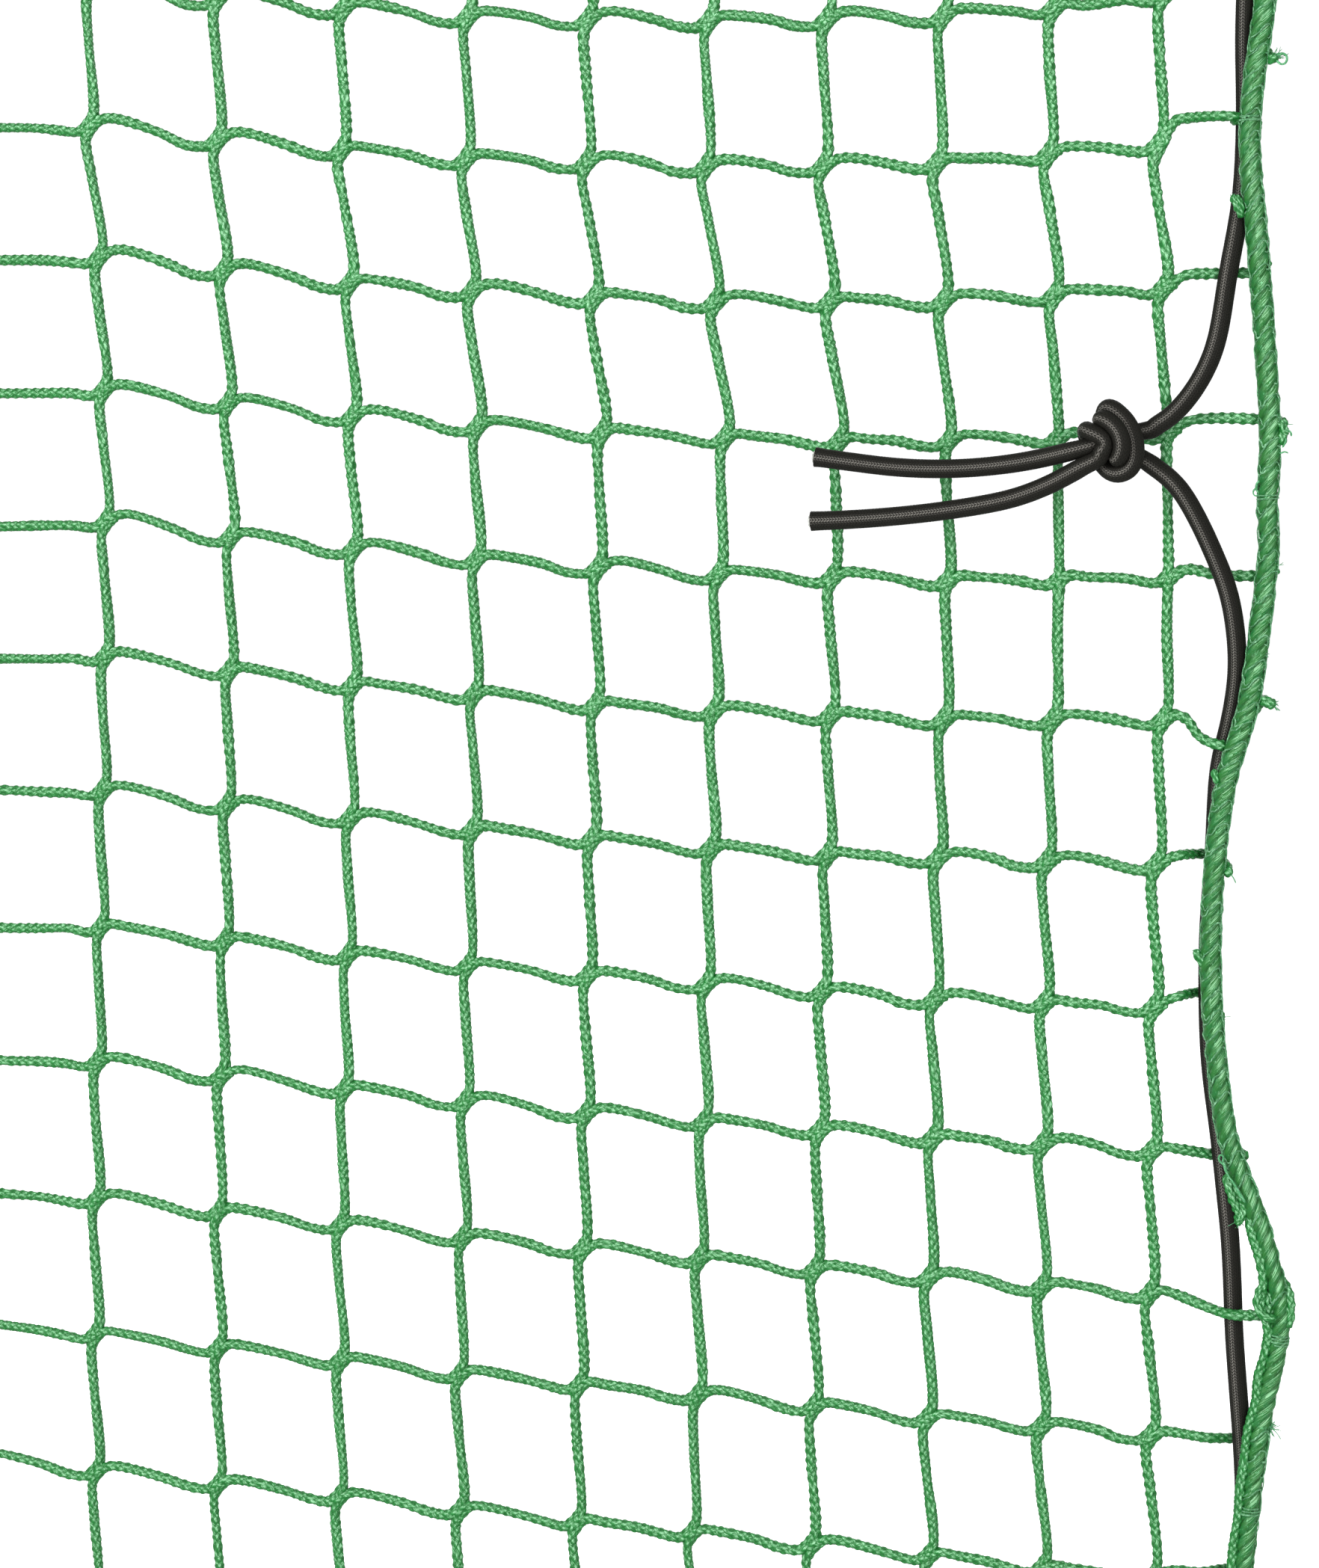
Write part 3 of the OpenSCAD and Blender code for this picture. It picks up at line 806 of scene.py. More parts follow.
def rope_piece(name, start, end):
    part = slice(start, end)
    angles = angles_round(ROPE_SIDES)
    run = rope_run[part]
    uneven = 0.25 * slow_noise(rope_lengths, 11.0, 5)[part, None]
    radii, relief = rope_radius(angles[None, :], run[:, None] + uneven)
    radii = radii * (1 + 0.03 * slow_noise(rope_lengths, 14.0, 8)[part, None])
    mesh = TubeMesh()
    rings = tube_rings(rope_line[part], rope_normals[part], rope_sides[part], angles, radii)
    mesh.add(rings, run, relief)
    return mesh.build(name, ROPE, "border_rope")


rope_upper = rope_piece("border_rope_upper_part", 0, rope_cut + 1)
rope_lower = rope_piece("border_rope_lower_part", rope_cut, len(rope_line))

# ---------------------------------------------------------------- lacing


def on_rope(length, degrees, out):
    """Point at a length along the rope, an angle round it, and a height over its strands."""
    point = interpolate(length, rope_lengths, rope_line)
    normal = interpolate(length, rope_lengths, rope_normals)
    side = interpolate(length, rope_lengths, rope_sides)
    angle = math.radians(degrees)
    radius = float(rope_radius(angle, length * ROPE_LAY / rope_lay)[0])
    radius = 0.45 * radius + 0.55 * 3.1 + out
    return point + radius * (math.cos(angle) * normal + math.sin(angle) * side)


def stitches(mesh, start, end):
    """Hooked stitches over the front and back of the rope; only those in start..end are made."""
    draw = np.random.default_rng(77)
    pitch = 6.6
    place = 4.0
    while place < rope_lengths[-1] - 8:
        x = np.interp(place, rope_lengths, rope_x_all)
        z = np.interp(place, rope_lengths, rope_z_all)
        sparse = x > RIGHT_ZONE and z < SEAM_Z - 10
        # the rope runs up on the left and down on the right, so stitches are turned to match
        hand = -1 if (x > RIGHT_ZONE or z < 40) else 1
        for back in (0, 180):
            jit = draw.uniform(-1, 1, 12)
            if draw.uniform() < (0.75 if sparse else 0.10):
                continue
            drop = draw.uniform(0, 3.0)

            def lay(points, shift, radius, tone):
                """points: angle round the rope, length along it, height over it."""
                if start <= place < end:
                    thread(mesh, [
                        on_rope(np.clip(place + hand * (along + shift), 0.2,
                                        rope_lengths[-1] - 0.2), back + hand * angle, out)
                        for angle, along, out in points], radius, 0.6, tone)

            lay([(-70, -0.8, -0.5), (-56 + 7 * jit[0], 0.2, 0.1),
                 (-34 + 6 * jit[1], 0.9 + 0.5 * jit[2], 0.2),
                 (-10 + 8 * jit[3], 2.3 + 0.5 * jit[4], 0.22), (12, 3.7 + 0.4 * jit[5], 0.22),
                 (34 + 5 * jit[6], 4.6, 0.2), (56, 4.4 + 0.4 * jit[7], 0.15),
                 (70 + 5 * jit[8], 2.6, 0.2), (77, -0.2 - drop * 0.5, 0.28),
                 (74 + 5 * jit[9], -2.6 - drop, 0.2), (60, -3.5 - drop, 0.1),
                 (44, -2.9 - drop, -0.5)], 0.5 * jit[10], 0.27 + 0.06 * jit[11], jit[6])
            if draw.uniform() < 0.6:
                lay([(-84, 3.4, -0.4), (-66 + 8 * jit[4], 3.9, 0.1),
                     (-48, 2.6 + jit[5] * 0.5, 0.15), (-40 + 8 * jit[6], 1.4, 0.15),
                     (-22, 1.9 + 0.6 * jit[7], 0.1), (-12, 3.2, -0.5)], jit[10], 0.25, jit[5])
        place += pitch * (1 + 0.10 * draw.uniform(-1, 1))


def edge_threads(mesh, start, end):
    """Running threads on both edges and the back, dipping in and out of the rope."""
    for side, seed in ((80, 1), (-82, 2), (172, 3)):
        draw = np.random.default_rng(seed)
        length, points = start, []
        while length < end:
            points.append((length, side + 7 * draw.uniform(-1, 1),
                           -0.25 + 0.1 * draw.uniform(-1, 1)))
            length += draw.uniform(2.5, 4.0)
            points.append((min(length, end), side + 5 * draw.uniform(-1, 1), 0.30))
            length += draw.uniform(2.5, 5.0)
        points.append((end, side, -0.3))
        thread(mesh, [on_rope(*point) for point in points], 0.26, 0.8, 0.2)


def lace_piece(name, start, end):
    mesh = TubeMesh()
    stitches(mesh, rope_lengths[start], rope_lengths[end])
    edge_threads(mesh, rope_lengths[start], rope_lengths[end])
    return mesh.build(name, LACE, "lacing_thread")


lace_upper = lace_piece("lacing_upper_part", 0, rope_cut)
lace_lower = lace_piece("lacing_lower_part", rope_cut, len(rope_line) - 1)

# ---------------------------------------------------------------- path of the elastic cord

ELASTIC_STEP = 0.5
ELASTIC_SIDES = 40

# Right-hand side of the elastic cord, above and below the knot: height, sideways drift
DRIFT_ABOVE = [(537, -6.4), (550, -4.6), (563, -3.5), (585, -3.4), (610, -4.4), (628, -4)]
DRIFT_BELOW = [
    (60, 4), (100, 9.4), (140, 12.2), (170, 10.8), (185, 9.6), (205, 7.5), (226, 6.0), (241, 4.5),
    (268, -0.1), (293, -4), (330, -5.8), (355, -5), (386, -4.1), (397, -1.6), (417, 0.6)]

KNOT = np.array([183.45, -15.5, 485.6 + LIFT])
# Axes of the knot's points, as rows: to its right, up, and out towards the viewer
KNOT_AXES = np.array([[0.9684, 0.2487, 0.0187], [-0.0464, 0.1057, 0.9933],
                      [0.2451, -0.9628, 0.1139]])
KNOT_SCALE = 0.95
KNOT_SHIFT = np.array([0, -0.4, 0])

# One strand: border above, core, over the left side, middle turn in front, upper tail
KNOT_UPPER = [
    (10.6, 3.1, -0.6), (6, 1.2, -1.4), (1.5, 0.9, -1.8), (-3.0, 3.0, -2.2), (-6.0, 4.8, -0.6),
    (-6.3, 6.3, 2.2), (-4.9, 6.9, 4.8), (-2.8, 6.3, 6.9), (-0.5, 4.8, 8.0), (1.2, 2.3, 8.5),
    (1.9, -0.6, 8.4), (2.1, -3.3, 7.7), (1.9, -5.6, 5.9), (0.7, -7.0, 3.4), (-1.0, -6.8, 0.8),
    (-2.2, -4.6, -1.4), (-1.4, -1.8, -2.4), (0.8, -0.4, -1.6), (1.9, 0.5, 0.6), (0.3, 1.0, 2.2),
    (-2.0, 0.9, 2.9), (-4.6, 0.6, 2.8), (-7.7, -0.7, 1.8), (-11.7, -2.3, 0.6)]
# The other: border below, behind the core, outer turn in front, round the back, inner turn,
# lower tail
KNOT_LOWER = [
    (9.8, -4.9, -0.8), (6.0, -3.4, -2.2), (2.0, -0.6, -4.0), (-1.6, 3.0, -4.8), (-4.2, 6.6, -3.8),
    (-4.9, 9.0, -0.8), (-3.2, 10.0, 1.9), (-0.4, 9.9, 3.8), (2.2, 8.3, 5.0), (4.3, 5.7, 5.6),
    (5.8, 2.8, 5.8), (6.7, -0.6, 5.8), (6.5, -4.0, 5.6), (5.4, -6.9, 5.0), (3.6, -8.7, 4.0),
    (1.2, -9.5, 2.6), (-1.4, -9.0, 0.2), (-3.6, -7.0, -2.6), (-5.4, -3.8, -4.2),
    (-7.1, -0.6, -3.6), (-8.0, 1.8, -0.8), (-7.4, 3.3, 2.0), (-5.8, 3.5, 4.3), (-3.9, 2.2, 5.4),
    (-2.2, 0.6, 5.0), (-0.9, -1.2, 3.6), (-0.2, -3.0, 1.6), (-1.0, -4.0, 0.6), (-2.6, -3.6, 1.6),
    (-4.4, -3.9, 2.2), (-7.7, -5.8, 1.4), (-11.7, -8.6, 0.4)]


def in_knot(points):
    return [KNOT + (KNOT_SCALE * np.array(p) + KNOT_SHIFT) @ KNOT_AXES for p in points]


def raised(points):
    return [np.array([x, y, z + LIFT]) for x, y, z in points]


# Tails from their free ends to the knot, and legs from the knot to the border
TAIL_UPPER = raised([(90.4, -15.2, 478.5), (102, -15.1, 477.2), (117.7, -15.0, 475.8),
                     (136, -15.0, 476.0), (154, -15.0, 478.2), (165.5, -15.1, 480.8)])
TAIL_LOWER = raised([(89.6, -15.2, 458.4), (100, -15.1, 459.1), (112, -15.0, 460.2),
                     (125.5, -15.0, 461.9), (140, -15.0, 464.3), (154.3, -15.0, 467.6),
                     (165.8, -15.1, 472.4)])
LEG_UPPER = raised([(199.1, -11.2, 492.0), (204.7, -8, 498.4), (208.9, -5.4, 505.6),
                    (212.4, -3.0, 515.0)])
LEG_LOWER = raised([(202.4, -11, 473.6), (208.5, -8, 463.8), (214.4, -5, 451.5),
                    (219.6, -2, 437.9)])


def relax(lines, thickness, rounds=220):
    """Pushes the strands of the knot apart until none is closer than its thickness."""
    counts = [len(line) for line in lines]
    points = np.concatenate(lines)
    home = points.copy()
    shown = ((points - KNOT) @ KNOT_AXES.T)[:, 2] > 1.8
    owner = np.concatenate([np.full(k, i) for i, k in enumerate(counts)])
    order = np.concatenate([np.arange(k) for k in counts])
    neighbours = (owner[:, None] == owner[None]) & (np.abs(order[:, None] - order[None]) < 8)
    fixed = np.zeros(len(points), bool)
    for i in range(len(counts)):
        own = np.where(owner == i)[0]
        fixed[own[:5]] = fixed[own[-5:]] = True
    free = np.where(~fixed)[0]
    hold = np.where(shown, 0.06, 0.006)[free, None]    # turns in view stay nearer their places
    for _ in range(rounds):
        apart = points[:, None] - points[None]
        gap = np.linalg.norm(apart, axis=2) + 1e-9
        push = np.where((gap < thickness) & ~neighbours, (thickness - gap) / gap, 0)
        move = (push[..., None] * apart).sum(1) * 0.2
        moved = points.copy()
        moved[free] += move[free]
        moved[free] += ((moved[free - 1] + moved[free + 1]) / 2 - moved[free]) * 0.3
        moved[free] += (home[free] - moved[free]) * hold
        points = moved
    return np.split(points, np.cumsum(counts)[:-1])


def elastic_path():
    """One length from the upper tail through the knot, round the border, to the lower tail."""
    upper, _ = spline(TAIL_UPPER[-1:] + in_knot(KNOT_UPPER)[::-1] + LEG_UPPER[:1], 1.2)
    lower, _ = spline(LEG_LOWER[:1] + in_knot(KNOT_LOWER) + TAIL_LOWER[-1:], 1.2)
    upper, lower = relax([upper, lower], 5.2)
    bend = CORNER - ELASTIC_INSET + 1.5
    top, bottom = TOP - ELASTIC_INSET, BOTTOM + ELASTIC_INSET
    path = TAIL_UPPER[:-1] + list(upper[::2]) + LEG_UPPER[1:]
    path += [(ELASTIC_X + drift, 0.0, z + LIFT) for z, drift in DRIFT_ABOVE]
    path += corner(ELASTIC_X - 3 - bend, top - bend, bend, 15, 90)
    for i, x in enumerate(np.arange(SIDE - CORNER - 45, -SIDE + CORNER + 20, -44)):
        path.append((x, 0.0, top + 0.8 * math.sin(i * 1.4)))
    path += corner(-ELASTIC_X + bend, top - bend, bend, 90, 180)
    for i, z in enumerate(np.arange(TOP - 60, BOTTOM + 40, -44)):
        path.append((-ELASTIC_X + 0.9 * math.sin(i * 1.2), 0.0, z))
    path += corner(-ELASTIC_X + bend, bottom + bend, bend, 180, 270)
    for i, x in enumerate(np.arange(-SIDE + CORNER + 45, SIDE - CORNER - 20, 44)):
        path.append((x, 0.0, bottom + 0.8 * math.sin(i * 1.1 + 1)))
    path += corner(ELASTIC_X - bend, bottom + bend, bend, -90, 0)
    path += [(ELASTIC_X + drift, 0.0, z + LIFT) for z, drift in DRIFT_BELOW]
    return path + LEG_LOWER[:0:-1] + list(lower[::2]) + TAIL_LOWER[:-1][::-1]


def ease_bends(line):
    """Smooths the line outside the knot."""
    soft = line.copy()
    kernel = unit_sum(np.exp(-0.5 * (np.arange(-24, 25) / 9.0) ** 2))
    for k in range(3):
        soft[24:-24, k] = np.convolve(line[:, k], kernel, "valid")
    outside = np.clip((np.linalg.norm(line - KNOT, axis=1) - 11.5) / 5, 0, 1)[:, None]
    return line + smoothstep(outside) * (soft - line)


def pass_behind_rope(line):
    """Where the right-hand rope lies over the elastic cord, the cord goes round behind it."""
    x, y, z = line.T
    beside_rope = np.where((x > ELASTIC_X - 25) & (z > BOTTOM + 12) & (z < TOP - 25)
                           & (y > -2.5))[0]
    gap = np.abs(rope_x(z[beside_rope]) - x[beside_rope])
    depth = np.zeros(len(line))
    depth[beside_rope] = np.sqrt(np.clip(6.9 ** 2 - gap ** 2, 0, None))
    line = line.copy()
    line[:, 1] += np.maximum(np.convolve(depth, unit_sum(np.hanning(71)), "same"), 0)
    return line


def front_frames(line):
    """Normals and sides, turned so that the normals face the front all along."""
    tangents, normals, sides = frames(line)
    front = np.array([0.0, -1.0, 0.0]) - tangents * (-tangents[:, 1:2])
    turn = np.arctan2((front * sides).sum(1), (front * normals).sum(1))
    sure = np.linalg.norm(front, axis=1) > 0.45
    turn = np.interp(np.arange(len(turn)), np.where(sure)[0], np.unwrap(turn[sure]))
    turn = np.pad(np.unwrap(turn), 7, mode="edge")
    turn = np.convolve(turn, unit_sum(np.hanning(15)), "valid")[:, None]
    return (np.cos(turn) * normals + np.sin(turn) * sides,
            -np.sin(turn) * normals + np.cos(turn) * sides)


elastic_line, _ = spline(elastic_path(), ELASTIC_STEP)
elastic_line = pass_behind_rope(ease_bends(elastic_line))
elastic_line, elastic_lengths = resample(elastic_line, ELASTIC_STEP)
elastic_normals, elastic_sides = front_frames(elastic_line)
elastic_uneven = slow_noise(elastic_lengths, 25.0, 60)

# ---------------------------------------------------------------- pieces of the elastic cord


def elastic_radii(part):
    """Radius over the cover: faintly ribbed, a little drawn in where the knot grips."""
    angles = angles_round(ELASTIC_SIDES)
    grip = np.clip((14 - np.linalg.norm(elastic_line[part] - KNOT, axis=1)) / 5, 0, 1)
    ribs = np.cos(2 * np.pi * elastic_lengths[part, None] / 1.1 + 12 * angles[None, :])
    radii = 2.95 + 0.035 * ribs + 0.03 * elastic_uneven[part, None]
    return radii * (1 - 0.10 * grip)[:, None]


def elastic_rings(part, radii):
    return tube_rings(elastic_line[part], elastic_normals[part], elastic_sides[part],
                      angles_round(ELASTIC_SIDES), radii)


def elastic_piece(name, start, end):
    part = slice(start, end + 1)
    mesh = TubeMesh()
    mesh.add(elastic_rings(part, elastic_radii(part)), elastic_lengths[part])
    return mesh.build(name, ELASTIC, "elastic_sheath")


def first_index(mask, after=0):
    found = np.where(mask)[0]
    return int(found[found >= after][0])


# where the cord is parted, in order along it
elastic_x, _, elastic_z = elastic_line.T
knot_entry = first_index(elastic_x > KNOT[0] - 1.0)
top_join = first_index(elastic_z > row_z(2) - 6, knot_entry)
left_seam = first_index((elastic_x < -ELASTIC_X + 12) & (elastic_z < SEAM_Z), top_join)
right_seam = first_index((elastic_x > ELASTIC_X - 25) & (elastic_z > SEAM_Z), left_seam + 200)
low_join = first_index(elastic_z > row_z(6) - 4, right_seam)
knot_exit = int(np.where(elastic_x > KNOT[0] - 1.0)[0][-1])

tie_upper = elastic_piece("elastic_tie_upper", knot_entry, top_join)
elastic_top = elastic_piece("elastic_border_top", top_join, left_seam)
elastic_bottom = elastic_piece("elastic_border_bottom", left_seam, right_seam)
elastic_right = elastic_piece("elastic_border_right", right_seam, low_join)
tie_lower = elastic_piece("elastic_tie_lower", low_join, knot_exit)

# Lip and bore of a cut end: radius, depth inside the end
LIP = [(2.62, -0.12), (2.2, 0.02), (1.98, 0.5), (1.92, 2.6)]
# Core end: radius, distance beyond the cut
CORE_PROFILE = [(1.88, -6.0), (1.88, -1.0), (1.86, 0.25), (1.78, 0.62), (1.45, 0.82),
                (0.9, 0.76), (0.4, 0.88)]


def core_piece(name, centre, out, normal, side, seed):
    angles = angles_round(24)
    draw = np.random.default_rng(seed)
    lobes = 1 + 0.05 * np.cos(5 * angles + draw.uniform(0, 6)) + 0.03 * draw.uniform(-1, 1, 24)
    round_core = spokes(normal, side, angles)
    rings = np.array([centre + out * beyond + radius * lobes[:, None] * round_core
                      for radius, beyond in CORE_PROFILE])
    mesh = TubeMesh()
    mesh.add(rings, np.array([beyond for _, beyond in CORE_PROFILE]))
    return mesh.build(name, CORE, "rubber_core")


def tail_piece(which, part, at_start, core_seed):
    """A tail and its core: the sheath turns in over the rubber at the cut end."""
    line, lengths = elastic_line[part], elastic_lengths[part]
    angles = angles_round(ELASTIC_SIDES)
    from_cut = (lengths - lengths[0]) if at_start else (lengths[-1] - lengths)
    draw = np.random.default_rng(9 + int(at_start))
    ragged = 0.12 * draw.uniform(-1, 1, ELASTIC_SIDES)
    radii = elastic_radii(part) * (1 + 0.05 * np.exp(-from_cut / 2.0))[:, None]
    radii = radii + np.exp(-from_cut / 0.8)[:, None] * ragged[None]
    sheath = elastic_rings(part, radii)
    end = 0 if at_start else -1
    out = (line[0] - line[1]) if at_start else (line[-1] - line[-2])
    out /= np.linalg.norm(out)
    normal, side = elastic_normals[part][end], elastic_sides[part][end]
    rim = spokes(normal, side, angles) * (1 + ragged[:, None] * 0.4)
    lip = np.array([line[end] - out * depth + radius * rim for radius, depth in LIP])
    lip_relief = np.full(lip.shape[:2], 0.15)
    relief = np.full(radii.shape, 0.6)
    if at_start:
        rings = np.concatenate([lip[::-1], sheath])
        lengths = np.r_[lengths[0] - ELASTIC_STEP * np.arange(4, 0, -1), lengths]
        relief = np.concatenate([lip_relief, relief])
    else:
        rings = np.concatenate([sheath, lip])
        lengths = np.r_[lengths, lengths[-1] + ELASTIC_STEP * np.arange(1, 5)]
        relief = np.concatenate([relief, lip_relief])
    mesh = TubeMesh()
    mesh.add(rings, lengths, relief)
    tail = mesh.build("elastic_tail_" + which, ELASTIC, "elastic_sheath")
    return tail, core_piece("core_end_" + which, line[end], out, normal, side, core_seed)


tail_upper, core_upper = tail_piece("upper", slice(0, knot_entry + 1), True, 3)
tail_lower, core_lower = tail_piece("lower", slice(knot_exit, len(elastic_line)), False, 4)


def elastic_at(z):
    """Centre (x, y) of the right-hand elastic cord at a height, or None beside the tie."""
    found = np.where((elastic_x > ELASTIC_X - 40) & (np.abs(elastic_z - z) < 1.0)
                     & (elastic_line[:, 1] > -9))[0]
    if len(found) == 0:
        return None
    nearest = found[np.argmin(np.abs(elastic_z[found] - z))]
    return float(elastic_line[nearest, 0]), float(elastic_line[nearest, 1])


# ---------------------------------------------------------------- ends of the mesh cords

fray = {"upper": TubeMesh(), "middle": TubeMesh(), "lower": TubeMesh()}


def fray_at(z):
    """The mesh of loose filaments for a height."""
    if z > FOLD_UPPER_Z + 22:
        return fray["upper"]
    return fray["middle" if z > FOLD_LOWER_Z + 22 else "lower"]


def frayed_end(mesh, tip, direction, seed, count, length, spread=0.6):
    """Loose filaments at a cut cord end."""
    draw = np.random.default_rng(seed)
    out = np.array(direction, float)
    out /= np.linalg.norm(out)
    for _ in range(count):
        way = out + spread * draw.normal(size=3)
        way /= np.linalg.norm(way)
        curl = draw.normal(size=3) * 0.5
        base = np.array(tip) - out * 0.8 + draw.normal(size=3) * 0.45
        reach = length * draw.uniform(0.5, 1.2)
        points = [base, base + way * reach * 0.4,
                  base + way * reach * 0.75 + curl * 0.35 * reach * 0.5,
                  base + way * reach + curl * reach * 0.45]
        radius = 0.13 * draw.uniform(0.7, 1.4)
        thread(mesh, points, radius, 0.5, draw.uniform(-1, 1), sides=5)


def cut_stub(lead, centre, out, along, shift, length, slope):
    """Takes a cord from behind the rope at centre out to a cut stub; gives points, tip, way."""
    points = list(lead)
    shifted = along * shift
    far = abs(shift) > 5
    if far:
        points.append(centre + out * 0.3 + BACKWARD * 4.7 - shifted * 0.35)
    reach = 4.0 if length > 1.5 else 2.3
    middle = (centre + out * (reach + length * 0.5) - BACKWARD * 0.3
              + along * slope * length * 0.5)
    tip = centre + out * (reach + length) - BACKWARD * 0.4 + along * slope * length
    points += [centre + out * (reach - 0.7) + BACKWARD * 2.8 - shifted * (0.05 if far else 0.4),
               centre + out * reach + BACKWARD * 0.5, middle, tip]
    return points, tip, tip - middle


def loose_end(start, out, along, elastic, rope, behind, seed,
              longest, steepest, shift, fray_length):
    """Cord end past the elastic cord, behind the rope and out as a frayed stub.

    elastic, rope: distances outwards from start; behind: passes behind the elastic cord.
    """
    # distance outwards, depth behind the net
    if behind:
        stations = [(elastic - 5.0, 2.6), (elastic - 0.5, 4.6), (rope - 3.2, 4.5), (rope, 4.5)]
    else:
        stations = [(elastic - 5.2, -3.0), (elastic - 0.3, -4.55), (elastic + 3.9, -2.9),
                    (rope - 4.7, 0.2), (rope - 3.3, 3.4), (rope, 4.5)]
    lead = [start + out * distance + BACKWARD * depth for distance, depth in stations]
    draw = np.random.default_rng(seed)
    length = draw.uniform(1.5, longest)
    slope = draw.uniform(-0.5, steepest)
    count = 3 + int(draw.integers(0, 9))
    points, tip, way = cut_stub(lead, start + out * rope, out, along,
                                draw.uniform(-shift, shift), length, slope)
    frayed_end(fray_at(tip[2]), tip, way, seed + 100, count, fray_length)
    return points


def swell_at(line, centres, amount, width):
    """Thickening of a cord near its crossings."""
    distance = np.linalg.norm(line[:, None, :] - np.array(centres)[None], axis=2).min(1)
    return amount * np.exp(-(distance / width) ** 2)


def lean(col, row):
    """How far the upper and lower legs of a crossing are set apart sideways."""
    if row in (4, 5) and col >= 9:
        return 0.0 if col >= 10 else 0.6
    return 1.0


# ---------------------------------------------------------------- down cords

down_cords = {"upper": [], "lower": []}


def down_cord_points(col):
    behind = col % 4 != 2
    x, _, z = CROSSING[col, 1]
    start = np.array([x + 1.6, 0.0, z + 4.0])
    points = loose_end(start, UPWARD, RIGHTWARD, TOP - ELASTIC_INSET - start[2],
                       rope_z(x + 1.0, TOP_ROPE) - start[2], behind, 300 + col,
                       longest=4.5, steepest=0.5, shift=1, fray_length=2.4)[::-1]
    for row in range(1, ROWS + 1):
        x, _, z = CROSSING[col, row]
        apart = lean(col, row)
        points += [(x + 1.6 * apart, 0.15, z + 4.0), (x + 0.2, 0.25, z),
                   (x - 1.2 * apart, 0.15, z - 4.0)]
        if row < ROWS:
            next_x, _, next_z = CROSSING[col, row + 1]
            stray = np.random.default_rng(700 + 17 * col + row).uniform(-0.5, 0.5)
            middle = (x - 1.2 * apart) * 0.62 + (next_x + 1.6 * lean(col, row + 1)) * 0.38
            points.append((middle - 0.15 + stray * 0.5, 0.0, z * 0.62 + next_z * 0.38 - 0.3))
    x, _, z = points[-1]
    points += loose_end(np.array([x, 0.0, z]), -UPWARD, RIGHTWARD, z - (BOTTOM + ELASTIC_INSET),
                        z - rope_z(x, BOTTOM_ROPE), not behind, 350 + col,
                        longest=5.5, steepest=0.5, shift=1, fray_length=2.0)
    return points


def down_cord(col):
    """A continuous cord from top to bottom, built as two pieces parted at the seam row."""
    line, lengths = spline(down_cord_points(col), CORD_STEP)
    swell = swell_at(line, [CROSSING[col, row] for row in range(1, ROWS + 1)], 0.22, 4.0)
    # a little thinner where it passes over or under the border
    over = np.clip((np.abs(line[:, 1]) - 1.5) / 3, 0, 1)
    rings, run, height, tone = braided_tube(line, lengths, 1.5 - 0.12 * over, 10000 + 50 * col,
                                            swell=swell, rounded=False)
    below = line[:, 2] < CROSSING[col, SEAM_ROW][2]
    seam = first_index(below, 61)
    for which, part in (("upper", slice(0, seam + 1)), ("lower", slice(seam, len(line)))):
        mesh = TubeMesh()
        mesh.add(rings[part], run[part], height[part], tone)
        name = "down_cord_%s_%02d" % (which, col)
        down_cords[which].append(mesh.build(name, CORD, "mesh_cord"))


for col in range(1, COLS + 1):
    down_cord(col)

# ---------------------------------------------------------------- cross cords

# Right-hand ends by row: height where the cord meets the rope over its last crossing; then
# the stub's height over that (None: at FIRST_STUB_Z), length, slope, and number of filaments
RIGHT_ENDS = {
    1: (4, None, 2.6, 0.35, 16), 2: (7.8, -2, 0.6, 0, 0), 3: (4.6, 3, 0.6, 0, 0),
    4: (4.4, -1.0, 1.6, -0.2, 5), 5: (0.5, 2, 0.6, 0, 3), 6: (-7.6, 14.5, 4.2, -0.35, 7),
    7: (2.5, -4, 1.8, -0.3, 2), 8: (3.8, -6, 1.0, 0, 3), 9: (-2.5, 4, 0.5, 0, 0),
    10: (-4, 7, 0.6, 0, 0), 11: (-1.3, 7, 1.2, -0.1, 12), 12: (2, 2, 2, -0.3, 6),
    13: (3, -2, 3, -0.4, 6), 14: (2, 2, 3, -0.3, 6)}
FIRST_STUB_Z = 602 + LIFT


def left_end(row):
    x, _, z = CROSSING[1, row]
    start = np.array([x - 5.0, 0.0, z - 2.0])
    return loose_end(start, -RIGHTWARD, UPWARD, start[0] + ELASTIC_X,
                     start[0] - rope_x(start[2], LEFT_ROPE), row % 4 == 2, 500 + row,
                     longest=5.0, steepest=0.3, shift=2, fray_length=2.4)[::-1]


